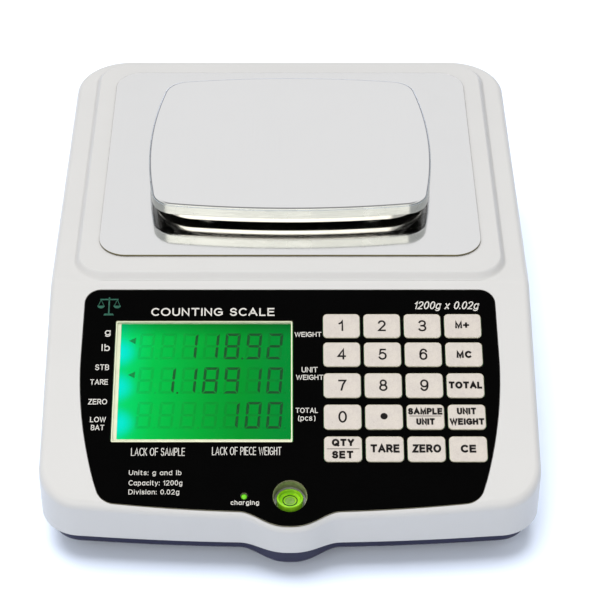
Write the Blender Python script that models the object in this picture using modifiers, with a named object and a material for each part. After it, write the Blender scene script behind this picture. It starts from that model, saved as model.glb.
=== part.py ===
"""Counting scale: a plastic case with a sloping operator panel, a mirror-finished deck plate and a lift-off pan.

Metres, +Z up. The origin is the centre of the bounding box's bottom, on the surface that the scale stands on.
+Y points to the rear, so the operator panel faces -Y. Run with: blender --background --python part.py
"""

import math

import bmesh
import bpy
from mathutils import Matrix, Vector

# ---- Driving dimensions -------------------------------------------------------------------------------------
BODY_WIDTH = 0.2343
REAR_Y = 0.1582            # rear wall of the case
FRONT_Y = -0.1558          # front wall on the centre line, before the bump
FRONT_BOW = 0.49           # the front wall curves back by this times x squared, per metre
BUMP_HALF_WIDTH = 0.0235   # swelling of the front wall in front of the spirit level
TOP_BUMP = 0.0064
BASE_BUMP = 0.0095
BUMP_SHARPNESS = 1.25
REAR_CORNER = 0.028
FRONT_CORNER = 0.020

SHOULDER_Z = 0.080         # level top of the case, around the raised deck
PANEL_TOP_Y = -0.0396      # where the operator panel starts to slope down
PANEL_SLOPE = math.radians(21.0)
SEAM_Z = 0.0167            # lower edge of the upper case
BASE_Z = 0.0083            # underside of the lower case
BASE_RIM_Z = 0.024         # the lower case's wall reaches up inside the upper case to here
BASE_INSET = 0.0045
WALL = 0.0025
PANEL_WALL = 0.0048
EDGE_RADIUS = 0.0035
CREASE_RADIUS = 0.012
GAP = 0.0003               # clearance between pieces that touch

DECK_CENTRE_Y = 0.0560     # raised deck, deck plate
DECK_SIZE = (0.214, 0.1902)
DECK_Z = 0.083
DECK_CORNER = 0.016
PLATE_SIZE = (0.190, 0.1632)
PLATE_CENTRE_Y = 0.0574
PLATE_CORNER = 0.014
PLATE_THICKNESS = 0.0008
PLATE_Z = DECK_Z + GAP

PAN_CENTRE_Y = 0.0556
PAN_SIZE = (0.145, 0.1185)
PAN_SIDE_RADIUS = 0.240    # the pan's sides and ends bulge
PAN_END_RADIUS = 0.450
PAN_CORNER = 0.012
PAN_WIDEST_SHIFT = -0.006  # the widest place lies this far in front of the pan's centre
PAN_TOP_Z = 0.097
PAN_RIM = 0.0063
SHEET = 0.001              # stainless sheet of the pan and its carrier
CARRIER_BOTTOM_Z = 0.0868
CARRIER_STEP_Z = 0.0901
CARRIER_INSET = 0.0025
CARRIER_TOP_INSET = 0.010
CARRIER_CORNER = 0.022
POST_X, POST_Y = 0.042, 0.032
POST_RADIUS = 0.0045
POST_HOLE_RADIUS = 0.0065

# Operator panel. Places on it are (x, distance down the slope from the panel's top edge).
OVERLAY_TOP, OVERLAY_BOTTOM = 0.0051, 0.1228
OVERLAY_TOP_HALF, OVERLAY_WIDEST_HALF = 0.0995, 0.1000
OVERLAY_WIDEST, OVERLAY_TAPER = 0.0450, 2.28     # the sides draw in by this times the distance squared
OVERLAY_BOW, OVERLAY_BUMP = 0.64, 0.0071
OVERLAY_TOP_CORNER, OVERLAY_LOW_CORNER = 0.0075, 0.0095
OVERLAY_LOW_CORNER_CENTRE = (0.0805, -0.1091)
OVERLAY_RECESS = 0.0023
OVERLAY_THICKNESS = 0.001
CIRCUIT_TOP, CIRCUIT_THICKNESS = -0.0014, 0.0006
KEY_SIZE = (0.0176, 0.0129)
KEY_CORNER = 0.002
KEY_THICKNESS = 0.0011
KEY_PROUD = 0.0005
KEY_COLUMNS = [0.0248 + 0.0195 * column for column in range(4)]
KEY_ROWS = [0.0253] + [0.0409 + 0.0167 * row for row in range(4)]
KEY_NAMES = [
    ["key_1", "key_2", "key_3", "key_memory_add"],
    ["key_4", "key_5", "key_6", "key_memory_clear"],
    ["key_7", "key_8", "key_9", "key_total"],
    ["key_0", "key_point", "key_sample_unit", "key_unit_weight"],
    ["key_quantity_set", "key_tare", "key_zero", "key_clear"],
]
WINDOW_CENTRE = (-0.0414, 0.0548)
WINDOW_SIZE = (0.0856, 0.0652)
LCD_VIEW_CENTRE = (-0.0405, 0.05415)
LCD_VIEW_SIZE = (0.0820, 0.0623)
LCD_MARGIN = (0.0030, 0.0016)       # the glass is this much larger than what the bezel shows
BEZEL_TOP, BEZEL_BOTTOM = -0.0012, -0.0020
LCD_TOP, LCD_THICKNESS = -0.0023, 0.0028
BACKLIGHT_THICKNESS = 0.004
BOARD_TOP, BOARD_THICKNESS = -0.0160, 0.0016
LED_PLACE = (-0.0212, 0.1149)
LED_RADIUS = 0.0014
LEVEL_PLACE = (0.0, 0.1148)
LEVEL_HOLE_RADIUS = 0.008
VIAL_RADIUS = 0.0062
LEVEL_BORE_DEPTH = 0.0072
LEVEL_CUP_RADIUS, LEVEL_CUP_DEPTH = 0.0105, 0.0120
VIAL_TOP_Z, VIAL_HEIGHT = 0.0360, 0.006
VIAL_SHIFT = 0.0015        # the vial stands this far behind the centre of its hole

# Load cell, along Y under the pan, fixed at the rear and free at the front.
CELL_SIZE = (0.030, 0.130, 0.022)
CELL_BOTTOM_Z = 0.0193
CELL_BOLT_OFFSETS = (0.047, 0.059)
CELL_BOLT_RADIUS = 0.002
FLOOR_Z = BASE_Z + WALL
SPIDER_Z, SPIDER_THICKNESS = 0.0505, 0.005

FOOT_PLACES = {
    "front_left": (-0.090, -0.124),
    "front_right": (0.090, -0.124),
    "rear_left": (-0.090, 0.130),
    "rear_right": (0.090, 0.130),
}
FOOT_PAD_RADIUS, FOOT_PAD_HEIGHT = 0.0115, 0.0040
FOOT_WHEEL_RADIUS, FOOT_WHEEL_HEIGHT = 0.0120, 0.0038
FOOT_STUD_RADIUS, FOOT_STUD_TOP = 0.003, 0.027
FOOT_RECESS_RADIUS, FOOT_RECESS_DEPTH = 0.0145, 0.004
FOOT_BOSS_RADIUS = 0.007

CASE_SCREW_PLACES = [(-0.1005, 0.098), (0.1005, 0.098), (-0.1005, -0.088), (0.1005, -0.088)]
CASE_BOSS_RADIUS = 0.0045
CASE_SCREW_RADIUS, CASE_SCREW_TOP = 0.0015, 0.034
CASE_SCREW_HEAD = (0.0028, 0.0024)
CASE_COUNTERBORE_TOP = 0.014

BATTERY_SIZE = (0.024, 0.097, 0.052)
BATTERY_CENTRE = (-0.080, 0.020)
STRAP_WIDTH, STRAP_THICKNESS = 0.014, 0.0012

SWITCH_CENTRE = (0.052, 0.048)      # x and z on the rear wall
SWITCH_FLANGE = (0.021, 0.015)
SWITCH_FLANGE_PROUD = 0.0014
SWITCH_HOLE = (0.0194, 0.0134)
ROCKER_SIZE = (0.0140, 0.0094)
ROCKER_TILT = math.radians(11.0)
ROCKER_PIVOT_DEPTH = 0.0040
ROCKER_REACH = 0.0064
JACK_CENTRE = (0.082, 0.048)
JACK_RADIUS = 0.0052
JACK_BORE_RADIUS, JACK_PIN_RADIUS = 0.0029, 0.0010
JACK_DEPTH = 0.0125

COLOURS = {
    "case": ((0.80, 0.80, 0.80), 0.35, 0.0),
    "base": ((0.030, 0.026, 0.14), 0.40, 0.0),
    "steel": ((0.72, 0.72, 0.71), 0.12, 1.0),
    "overlay": ((0.008, 0.008, 0.009), 0.35, 0.0),
    "key": ((0.62, 0.60, 0.58), 0.40, 0.3),
    "clear": ((0.75, 0.85, 0.80), 0.05, 0.0),
    "bezel": ((0.80, 0.78, 0.66), 0.50, 0.0),
    "lcd": ((0.02, 0.42, 0.10), 0.25, 0.0),
    "circuit": ((0.04, 0.20, 0.09), 0.50, 0.0),
    "level": ((0.42, 0.80, 0.08), 0.10, 0.0),
    "led": ((0.15, 0.85, 0.05), 0.20, 0.0),
    "aluminium": ((0.62, 0.63, 0.64), 0.35, 1.0),
    "battery": ((0.06, 0.06, 0.07), 0.60, 0.0),
    "rubber": ((0.02, 0.02, 0.02), 0.85, 0.0),
    "black": ((0.015, 0.015, 0.016), 0.45, 0.0),
    "cable": ((0.03, 0.03, 0.03), 0.60, 0.0),
}

PARTS = bpy.data.collections.new("counting_scale")
CUTTERS = bpy.data.collections.new("cutters")
materials = {}


# ---- Scene and modifier helpers -----------------------------------------------------------------------------
def start_scene():
    """An empty scene with one collection for the parts and one for the cutters."""
    for old in list(bpy.data.objects):
        bpy.data.objects.remove(old)
    for collection in (PARTS, CUTTERS):
        bpy.context.scene.collection.children.link(collection)
    for name, (colour, roughness, metallic) in COLOURS.items():
        made = bpy.data.materials.new(name)
        made.use_nodes = True
        shader = made.node_tree.nodes["Principled BSDF"]
        shader.inputs["Base Color"].default_value = (*colour, 1.0)
        shader.inputs["Roughness"].default_value = roughness
        shader.inputs["Metallic"].default_value = metallic
        materials[name] = made


def panel_frame():
    """An empty on the panel's top edge: its X runs across, its Y up the slope and its Z out of the panel."""
    frame = bpy.data.objects.new("panel_frame", None)
    PARTS.objects.link(frame)
    frame.location = (0.0, PANEL_TOP_Y, SHOULDER_Z)
    frame.rotation_euler = (PANEL_SLOPE, 0.0, 0.0)
    bpy.context.view_layer.update()
    return frame


def into(obj, collection, material=None):
    """Moves obj into one collection and gives it its material."""
    for other in list(obj.users_collection):
        other.objects.unlink(obj)
    collection.objects.link(obj)
    if material:
        obj.data.materials.clear()
        obj.data.materials.append(materials[material])
    return obj


def on_frame(obj, frame):
    """Parents obj to a frame, in the frame's own coordinates."""
    obj.parent = frame
    return obj


def combine(obj, other, operation):
    """Adds a Boolean of obj with a helper object, which then doesn't count as a part."""
    into(other, CUTTERS)
    other.hide_render = True
    other.display_type = "WIRE"
    modifier = obj.modifiers.new(other.name, "BOOLEAN")
    modifier.operation = operation
    modifier.solver = "EXACT"
    modifier.object = other
    return obj


def cut(obj, *cutters):
    for cutter in cutters:
        combine(obj, cutter, "DIFFERENCE")
    return obj


def join(obj, *others):
    for other in others:
        combine(obj, other, "UNION")
    return obj


def round_edges(obj, width, segments=3, angle=35.0):
    modifier = obj.modifiers.new("rounded_edges", "BEVEL")
    modifier.width = width
    modifier.segments = segments
    modifier.limit_method = "ANGLE"
    modifier.angle_limit = math.radians(angle)
    modifier.use_clamp_overlap = False
    return obj


def smooth(obj, angle=30.0):
    obj.data.shade_smooth()
    obj.data.set_sharp_from_angle(angle=math.radians(angle))
    return obj


# ---- Shape helpers ------------------------------------------------------------------------------------------
def box(name, size, centre, material="black"):
    bpy.ops.mesh.primitive_cube_add(size=1.0, location=(0.0, 0.0, 0.0))
    made = bpy.context.object
    made.name = name
    made.data.transform(Matrix.Diagonal((*size, 1.0)))
    made.location = centre
    return into(made, PARTS, material)


def cylinder(name, radius, bottom, top, place, material="black", sides=32):
    """A cylinder along its own Z, from bottom to top, over the point place in X and Y."""
    bpy.ops.mesh.primitive_cylinder_add(vertices=sides, radius=radius, depth=top - bottom)
    made = bpy.context.object
    made.name = name
    made.location = (place[0], place[1], (top + bottom) / 2)
    smooth(made)
    return into(made, PARTS, material)


def slab(name, loops, bottom, top, material="black"):
    """A flat outline, with any holes after it in loops, filled and given thickness from bottom to top in Z."""
    curve = bpy.data.curves.new(name, "CURVE")
    curve.dimensions = "2D"
    curve.fill_mode = "BOTH"
    curve.extrude = (top - bottom) / 2
    for loop in loops:
        spline = curve.splines.new("POLY")
        spline.points.add(len(loop) - 1)
        for point, (x, y) in zip(spline.points, loop):
            point.co = (x, y, 0.0, 1.0)
        spline.use_cyclic_u = True
    flat = bpy.data.objects.new(name + "_outline", curve)
    bpy.context.scene.collection.objects.link(flat)
    made = mesh_of_curve(flat, name)
    made.location = (0.0, 0.0, (top + bottom) / 2)
    smooth(made)
    return into(made, PARTS, material)


def mesh_of_curve(curve_object, name):
    """A mesh object in a curve's place, with the loose caps welded to the sides. The curve is removed."""
    graph = bpy.context.evaluated_depsgraph_get()
    mesh = bpy.data.meshes.new_from_object(curve_object.evaluated_get(graph))
    edit = bmesh.new()
    edit.from_mesh(mesh)
    bmesh.ops.remove_doubles(edit, verts=edit.verts, dist=0.000001)
    bmesh.ops.recalc_face_normals(edit, faces=edit.faces)
    edit.to_mesh(mesh)
    edit.free()
    mesh.name = name
    made = bpy.data.objects.new(name, mesh)
    made.matrix_world = curve_object.matrix_world.copy()
    bpy.context.scene.collection.objects.link(made)
    bpy.data.objects.remove(curve_object)
    return made


def cable(name, route, radius, material="cable", spacing=3.0):
    """A round cable along a smooth curve through the route's points, as a POLY spline."""
    points = smooth_route([Vector(p) for p in route], spacing * 2 * radius)
    curve = bpy.data.curves.new(name, "CURVE")
    curve.dimensions = "3D"
    curve.bevel_depth = radius
    curve.bevel_resolution = 2
    curve.use_fill_caps = True
    spline = curve.splines.new("POLY")
    spline.points.add(len(points) - 1)
    for point, place in zip(spline.points, points):
        point.co = (*place, 1.0)
    return into(bpy.data.objects.new(name, curve), PARTS, material)


def smooth_route(points, step):
    """Points about one step apart on a Catmull-Rom curve through the given ones."""
    ends = [2 * points[0] - points[1], *points, 2 * points[-1] - points[-2]]
    found = [points[0]]
    for before, start, stop, after in zip(ends, ends[1:], ends[2:], ends[3:]):
        count = max(2, round((stop - start).length / step))
        for index in range(1, count + 1):
            t = index / count
            bend = (2 * before - 5 * start + 4 * stop - after) * t * t
            twist = (3 * start - before - 3 * stop + after) * t ** 3
            found.append((2 * start + (stop - before) * t + bend + twist) / 2)
    return found


def arc(centre, radius, start, end, segments):
    """Points on an arc from the start angle to the end angle, in degrees, with both ends."""
    angles = [math.radians(start + (end - start) * i / segments) for i in range(segments + 1)]
    return [(centre[0] + radius * math.cos(a), centre[1] + radius * math.sin(a)) for a in angles]


def mirrored(right_half):
    """A closed loop from the points of its right half, which run from the front centre to the rear centre."""
    left_half = [(-x, y) for x, y in reversed(right_half) if x > 1e-9]
    return right_half + left_half


def rounded_rectangle(size, corner, centre=(0.0, 0.0), segments=5):
    x, y = size[0] / 2 - corner, size[1] / 2 - corner
    loop = []
    for sign_x, sign_y, start in ((1, -1, -90), (1, 1, 0), (-1, 1, 90), (-1, -1, 180)):
        middle = (centre[0] + sign_x * x, centre[1] + sign_y * y)
        loop += arc(middle, corner, start, start + 90, segments)
    return loop


def bump_share(x):
    """How much of the front bump's height stands at x: 1 on the centre line, 0 past its half width."""
    share = min(1.0, abs(x) / BUMP_HALF_WIDTH)
    return math.cos(math.pi / 2 * share ** BUMP_SHARPNESS) ** 2


def body_outline(inset=0.0, bump=TOP_BUMP):
    """The case's outline in plan: round corners, a bowed front and its bump."""
    half = BODY_WIDTH / 2 - inset
    corner = FRONT_CORNER - inset
    edge = half - corner

    def front(x):
        return FRONT_Y + inset + FRONT_BOW * x * x - bump * bump_share(x)

    stops = [BUMP_HALF_WIDTH * i / 9 for i in range(9)]
    stops += [BUMP_HALF_WIDTH + (edge - BUMP_HALF_WIDTH) * i / 4 for i in range(4)]
    right = [(x, front(x)) for x in stops]
    right += arc((edge, front(edge) + corner), corner, -90, 0, 6)
    rear_corner = REAR_CORNER - inset
    right += arc((half - rear_corner, REAR_Y - inset - rear_corner), rear_corner, 0, 90, 7)
    return mirrored(right)


def circle_meeting(first, first_radius, second, second_radius):
    """The meeting point of two circles that has the larger x, and of those the lower y."""
    a, b = Vector(first), Vector(second)
    apart = (b - a).length
    along = (first_radius ** 2 - second_radius ** 2 + apart ** 2) / (2 * apart)
    across = math.sqrt(first_radius ** 2 - along ** 2)
    unit = (b - a) / apart
    side = Vector((-unit.y, unit.x))
    found = [a + unit * along + side * across, a + unit * along - side * across]
    return max(found, key=lambda p: p.x)


def bulged_outline(inset=0.0, corner=PAN_CORNER):
    """The pan's outline: four bulging sides that meet in round corners, inset by a distance."""
    half, depth = PAN_SIZE[0] / 2, PAN_SIZE[1] / 2
    side = (half - PAN_SIDE_RADIUS, PAN_WIDEST_SHIFT)
    right = []
    for sign in (-1, 1):
        end = (0.0, sign * (depth - PAN_END_RADIUS))
        shrink = inset + corner
        meeting = circle_meeting(side, PAN_SIDE_RADIUS - shrink, end, PAN_END_RADIUS - shrink)
        end_angle = math.degrees(math.atan2(meeting.y - end[1], meeting.x - end[0]))
        side_angle = math.degrees(math.atan2(meeting.y - side[1], meeting.x - side[0]))
        if sign < 0:
            right += arc(end, PAN_END_RADIUS - inset, -90, end_angle, 5)[:-1]
            right += arc(meeting, corner, end_angle, side_angle, 6)
            first_side = side_angle
        else:
            right += arc(side, PAN_SIDE_RADIUS - inset, first_side, side_angle, 6)[1:-1]
            right += arc(meeting, corner, side_angle, end_angle, 6)
            right += arc(end, PAN_END_RADIUS - inset, end_angle, 90, 5)[1:]
    return [(x, y + PAN_CENTRE_Y) for x, y in mirrored(right)]


def panel_z(y):
    """Height of the case's outer surface at y, on the deck or on the sloping panel."""
    return SHOULDER_Z - max(0.0, PANEL_TOP_Y - y) * math.tan(PANEL_SLOPE)


def side_profile(deck_wall, panel_wall, below):
    """The case's top as a side view of (y, z) points: level, then sloping, closed underneath."""
    beyond = 0.02
    top = SHOULDER_Z - deck_wall
    crease_y = PANEL_TOP_Y + (panel_wall - deck_wall * math.cos(PANEL_SLOPE)) / math.sin(PANEL_SLOPE)
    radius = CREASE_RADIUS - deck_wall
    tangent = radius * math.tan(PANEL_SLOPE / 2)
    centre = (crease_y + tangent, top - radius)
    slope_degrees = math.degrees(PANEL_SLOPE)
    crease = arc(centre, radius, 90, 90 + slope_degrees, 4)
    front_y = FRONT_Y - beyond
    front_z = top - (crease_y - front_y) * math.tan(PANEL_SLOPE)
    corners = [(REAR_Y + beyond, below), (REAR_Y + beyond, top)]
    return corners + crease + [(front_y, front_z), (front_y, below)]


def case_block(name, inset, deck_wall, panel_wall):
    """The solid under the case's top surface, inset from the outline; it also serves as the hollow."""
    below = -0.02
    block = slab(name, [body_outline(inset)], below, SHOULDER_Z + 0.01)
    profile = slab(name + "_profile", [side_profile(deck_wall, panel_wall, below)], -0.15, 0.15)
    profile.rotation_euler = (math.radians(90), 0.0, math.radians(90))
    return combine(block, profile, "INTERSECT")


# ---- Case ---------------------------------------------------------------------------------------------------
def top_housing(frame):
    """The upper case: a hollow shell with the raised deck, the panel's recess and every opening."""
    case = case_block("top_housing", 0.0, 0.0, 0.0)
    round_edges(case, EDGE_RADIUS)
    deck_loop = rounded_rectangle(DECK_SIZE, DECK_CORNER, (0.0, DECK_CENTRE_Y), 6)
    deck = slab("raised_deck", [deck_loop], DECK_Z - 0.006, DECK_Z)
    round_edges(deck, 0.0026, 3)
    join(case, deck)
    hollow = case_block("case_hollow", WALL, WALL, PANEL_WALL)
    cut(case, hollow)
    join(case, *case_bosses(), level_cup(frame))
    cut(case, box("below_seam", (0.4, 0.5, 0.1), (0.0, 0.0, SEAM_Z - 0.05)))
    cut(case, *deck_post_holes("deck"), *panel_cutters(frame), *rear_cutters())
    into(case, PARTS, "case")
    return smooth(case)


def case_bosses():
    """Posts under the upper case that take the case screws."""
    return [
        cylinder(f"case_boss_{i}", CASE_BOSS_RADIUS, BASE_RIM_Z + GAP, panel_z(y) - 0.0015, (x, y), sides=16)
        for i, (x, y) in enumerate(CASE_SCREW_PLACES, 1)
    ]


def vial_centre():
    """The spirit level's place in plan: under the hole in the panel."""
    y = PANEL_TOP_Y - LEVEL_PLACE[1] * math.cos(PANEL_SLOPE)
    return LEVEL_PLACE[0], y + VIAL_SHIFT


def level_cup(frame):
    """The cup under the panel that holds the spirit level upright."""
    cup = cylinder("level_cup", LEVEL_CUP_RADIUS, -LEVEL_CUP_DEPTH, -0.0032, (0.0, 0.0), sides=32)
    return on_panel(cup, frame, LEVEL_PLACE)


def deck_post_holes(label, bottom=0.07, top=0.09):
    """Cutters for the four holes that the pan's posts pass through."""
    places = [(x, PAN_CENTRE_Y + y) for x in (-POST_X, POST_X) for y in (-POST_Y, POST_Y)]
    return [
        cylinder(f"{label}_post_hole_{i}", POST_HOLE_RADIUS, bottom, top, place, sides=20)
        for i, place in enumerate(places, 1)
    ]


def on_panel(obj, frame, place=None):
    """Puts obj in the panel's frame, at (x, distance down the slope) if a place is given."""
    if place:
        obj.location = (place[0], -place[1], obj.location.z)
    return on_frame(obj, frame)


def overlay_outline(inset=0.0):
    """The overlay's outline in the panel's frame: bulging sides, tapering to the front, and the front bump."""
    def front(x):
        return -OVERLAY_BOTTOM + inset + OVERLAY_BOW * x * x - OVERLAY_BUMP * bump_share(x)

    bow_end = OVERLAY_LOW_CORNER_CENTRE[0]
    stops = [BUMP_HALF_WIDTH * i / 9 for i in range(9)]
    stops += [BUMP_HALF_WIDTH + (bow_end - BUMP_HALF_WIDTH) * i / 5 for i in range(5)]
    right = [(x, front(x)) for x in stops]
    right += arc(OVERLAY_LOW_CORNER_CENTRE, OVERLAY_LOW_CORNER - inset, -84, -17, 5)
    for share in (0.86, 0.66, 0.44, 0.22, 0.0):
        below = (OVERLAY_BOTTOM - OVERLAY_LOW_CORNER - OVERLAY_WIDEST) * share
        right.append((OVERLAY_WIDEST_HALF - inset - OVERLAY_TAPER * below * below, -OVERLAY_WIDEST - below))
    corner = OVERLAY_TOP_CORNER - inset
    right += arc((OVERLAY_TOP_HALF - OVERLAY_TOP_CORNER, -OVERLAY_TOP - OVERLAY_TOP_CORNER), corner, 0, 90, 5)
    return mirrored(right)


def window_loop(size, clearance=0.0, corner=0.0008):
    grown = (size[0] + 2 * clearance, size[1] + 2 * clearance)
    return rounded_rectangle(grown, corner, (WINDOW_CENTRE[0], -WINDOW_CENTRE[1]), 2)


def circle_loop(place, radius, segments=24):
    """A round hole in the panel's frame, at (x, distance down the slope)."""
    return arc((place[0], -place[1]), radius, 0, 360, segments)[:-1]


def panel_cutters(frame):
    """The overlay's recess and the openings for the display, the level and the charging light."""
    recess = slab("overlay_recess", [overlay_outline(-GAP)], -OVERLAY_RECESS, 0.01)
    display = slab("display_opening", [window_loop(WINDOW_SIZE, GAP)], -0.02, 0.01)
    level = cylinder("level_opening", LEVEL_HOLE_RADIUS, -LEVEL_BORE_DEPTH, 0.01, (0.0, 0.0))
    light = cylinder("light_opening", LED_RADIUS + GAP, -0.02, 0.01, (0.0, 0.0), sides=16)
    on_panel(recess, frame)
    on_panel(display, frame)
    on_panel(level, frame, LEVEL_PLACE)
    on_panel(light, frame, LED_PLACE)
    pocket = cylinder("vial_pocket", VIAL_RADIUS + GAP, VIAL_TOP_Z - VIAL_HEIGHT - GAP, 0.06, vial_centre())
    return [recess, display, level, light, pocket]


def rear_cutters():
    """Openings in the rear wall for the power switch and the power inlet."""
    switch = box("switch_opening", (SWITCH_HOLE[0] + 2 * GAP, 0.02, SWITCH_HOLE[1] + 2 * GAP),
                 (SWITCH_CENTRE[0], REAR_Y, SWITCH_CENTRE[1]))
    jack = rear_cylinder("jack_opening", JACK_RADIUS + GAP, -0.01, 0.01, JACK_CENTRE)
    return [switch, jack]


def rear_cylinder(name, radius, inner, outer, centre, material="black", sides=32):
    """A cylinder along Y on the rear wall; inner and outer are measured outwards from the wall's face."""
    made = cylinder(name, radius, inner, outer, (0.0, 0.0), material, sides)
    made.rotation_euler = (math.radians(-90), 0.0, 0.0)
    made.location = (centre[0], REAR_Y + (inner + outer) / 2, centre[1])
    return made


def bottom_housing():
    """The lower case: a tray with bosses for the feet and the case screws, and ribs round the battery."""
    tray = slab("bottom_housing", [body_outline(BASE_INSET, BASE_BUMP)], BASE_Z, SEAM_Z - GAP)
    join(tray, slab("tray_rim", [body_outline(BASE_INSET)], BASE_Z + 0.001, BASE_RIM_Z))
    cut(tray, slab("tray_hollow", [body_outline(BASE_INSET + WALL)], FLOOR_Z, BASE_RIM_Z + 0.01))
    for name, place in FOOT_PLACES.items():
        recess_wall = cylinder(f"recess_wall_{name}", FOOT_RECESS_RADIUS + 0.002, BASE_Z + 0.001,
                               BASE_Z + FOOT_RECESS_DEPTH + 0.002, place)
        boss = cylinder(f"foot_boss_{name}", FOOT_BOSS_RADIUS, BASE_Z + 0.003, BASE_RIM_Z, place, sides=20)
        join(tray, recess_wall, boss)
    for index, place in enumerate(CASE_SCREW_PLACES, 1):
        join(tray, cylinder(f"base_post_{index}", CASE_BOSS_RADIUS, BASE_Z + 0.001, BASE_RIM_Z, place, sides=16))
    for side, offset in (("front", -1), ("rear", 1)):
        y = BATTERY_CENTRE[1] + offset * (BATTERY_SIZE[1] / 2 + 0.0018)
        join(tray, box(f"battery_rib_{side}", (0.02, 0.002, 0.0085), (BATTERY_CENTRE[0], y, FLOOR_Z + 0.0035)))
    cut(tray, *base_holes())
    return into(smooth(tray), PARTS, "base")


def base_holes():
    """Recesses and bores in the lower case for the feet, the case screws and the load cell's bolts."""
    made = []
    for name, place in FOOT_PLACES.items():
        made.append(cylinder(f"foot_recess_{name}", FOOT_RECESS_RADIUS, 0.0, BASE_Z + FOOT_RECESS_DEPTH, place))
        made.append(cylinder(f"foot_bore_{name}", FOOT_STUD_RADIUS + 0.0004, 0.0, 0.05, place, sides=20))
    for index, place in enumerate(CASE_SCREW_PLACES, 1):
        head = CASE_SCREW_HEAD[0] + 0.0006
        made.append(cylinder(f"counterbore_{index}", head, 0.0, CASE_COUNTERBORE_TOP, place, sides=20))
        made.append(cylinder(f"case_bore_{index}", CASE_SCREW_RADIUS + GAP, 0.0, 0.05, place, sides=12))
    for index, y in enumerate(cell_bolt_rows(1), 1):
        made.append(cylinder(f"cell_bore_{index}", CELL_BOLT_RADIUS + GAP, 0.0, 0.05, (0.0, y), sides=16))
    return made


def case_screws():
    """The four screws that hold the two halves of the case together, put in from below."""
    radius, height = CASE_SCREW_HEAD
    for index, place in enumerate(CASE_SCREW_PLACES, 1):
        top = CASE_COUNTERBORE_TOP - GAP
        screw = cylinder(f"case_screw_{index}", radius, top - height, top, place, "steel", 20)
        join(screw, cylinder(f"case_screw_shank_{index}", CASE_SCREW_RADIUS, top - 0.001, CASE_SCREW_TOP, place,
                             sides=12))
        slot = box(f"case_screw_slot_{index}", (2 * radius, 0.0007, 0.0012), (*place, top - height))
        cut(screw, slot)


def bore_case_bosses(case):
    """Blind bores in the upper case's bosses, a little wider and deeper than the screws."""
    for index, place in enumerate(CASE_SCREW_PLACES, 1):
        cut(case, cylinder(f"boss_bore_{index}", CASE_SCREW_RADIUS + GAP, 0.0, CASE_SCREW_TOP + 0.001, place,
                           sides=12))


# ---- Deck plate, pan and weighing mechanism -----------------------------------------------------------------
def deck_plate():
    """The mirror-finished stainless plate on the raised deck, with holes for the pan's posts."""
    loop = rounded_rectangle(PLATE_SIZE, PLATE_CORNER, (0.0, PLATE_CENTRE_Y), 6)
    holes = [
        arc((x, PAN_CENTRE_Y + y), POST_HOLE_RADIUS, 0, 360, 20)[:-1]
        for x in (-POST_X, POST_X) for y in (-POST_Y, POST_Y)
    ]
    return slab("deck_plate", [loop, *holes], PLATE_Z, PLATE_Z + PLATE_THICKNESS, "steel")


def open_below(obj):
    """Takes the lowest faces off a slab, so that Solidify makes a sheet-metal cover of the rest."""
    edit = bmesh.new()
    edit.from_mesh(obj.data)
    lowest = min(v.co.z for v in edit.verts)
    under = [f for f in edit.faces if all(abs(v.co.z - lowest) < 1e-7 for v in f.verts)]
    bmesh.ops.delete(edit, geom=under, context="FACES")
    edit.to_mesh(obj.data)
    edit.free()
    return obj


def sheet_cover(name, loop, bottom, top, edge, material):
    """A pressed sheet-metal cover: a flat top with a rounded edge and a skirt, open below."""
    cover = open_below(slab(name, [loop], bottom, top, material))
    round_edges(cover, edge, 3)
    solidify = cover.modifiers.new("sheet", "SOLIDIFY")
    solidify.thickness = SHEET
    solidify.offset = -1.0
    solidify.use_even_offset = True
    return cover


def weighing_pan():
    return sheet_cover("weighing_pan", bulged_outline(), PAN_TOP_Z - PAN_RIM, PAN_TOP_Z, 0.0012, "steel")


def pan_carrier():
    """The stepped tray under the pan: a wide low rim and a raised seat that the pan rests on."""
    seat_top = PAN_TOP_Z - SHEET - GAP
    loop = bulged_outline(CARRIER_INSET, CARRIER_CORNER)
    seat_loop = bulged_outline(CARRIER_TOP_INSET, CARRIER_CORNER)
    carrier = slab("pan_carrier", [loop], CARRIER_BOTTOM_Z, CARRIER_STEP_Z, "steel")
    join(carrier, slab("carrier_seat", [seat_loop], CARRIER_BOTTOM_Z + 0.001, seat_top))
    inner_loop = bulged_outline(CARRIER_INSET + SHEET, CARRIER_CORNER)
    inner_seat = bulged_outline(CARRIER_TOP_INSET + SHEET, CARRIER_CORNER)
    cut(carrier, slab("carrier_hollow", [inner_loop], 0.08, CARRIER_STEP_Z - SHEET))
    cut(carrier, slab("seat_hollow", [inner_seat], 0.08, seat_top - SHEET))
    return carrier


def cell_bolt_rows(sign):
    """Y of the load cell's two bolts at its rear (+1) or front (-1) end."""
    return [PAN_CENTRE_Y + sign * offset for offset in CELL_BOLT_OFFSETS]


def load_cell():
    """An aluminium single-point load cell: a bar with its double round cut-out and two bolt holes at each end."""
    bottom, top = CELL_BOTTOM_Z, CELL_BOTTOM_Z + CELL_SIZE[2]
    middle = (bottom + top) / 2
    cell = box("load_cell", CELL_SIZE, (0.0, PAN_CENTRE_Y, middle), "aluminium")
    for index, offset in enumerate((-0.014, 0.014), 1):
        hole = cylinder(f"cell_cutout_{index}", 0.0088, -0.02, 0.02, (0.0, 0.0))
        hole.rotation_euler = (0.0, math.radians(90), 0.0)
        hole.location = (0.0, PAN_CENTRE_Y + offset, middle)
        cut(cell, hole)
    cut(cell, box("cell_cutout_link", (0.04, 0.028, 0.005), (0.0, PAN_CENTRE_Y, middle)))
    for index, y in enumerate(cell_bolt_rows(1) + cell_bolt_rows(-1), 1):
        cut(cell, cylinder(f"cell_hole_{index}", CELL_BOLT_RADIUS + GAP, 0.0, 0.06, (0.0, y), sides=16))
    return cell


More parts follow.
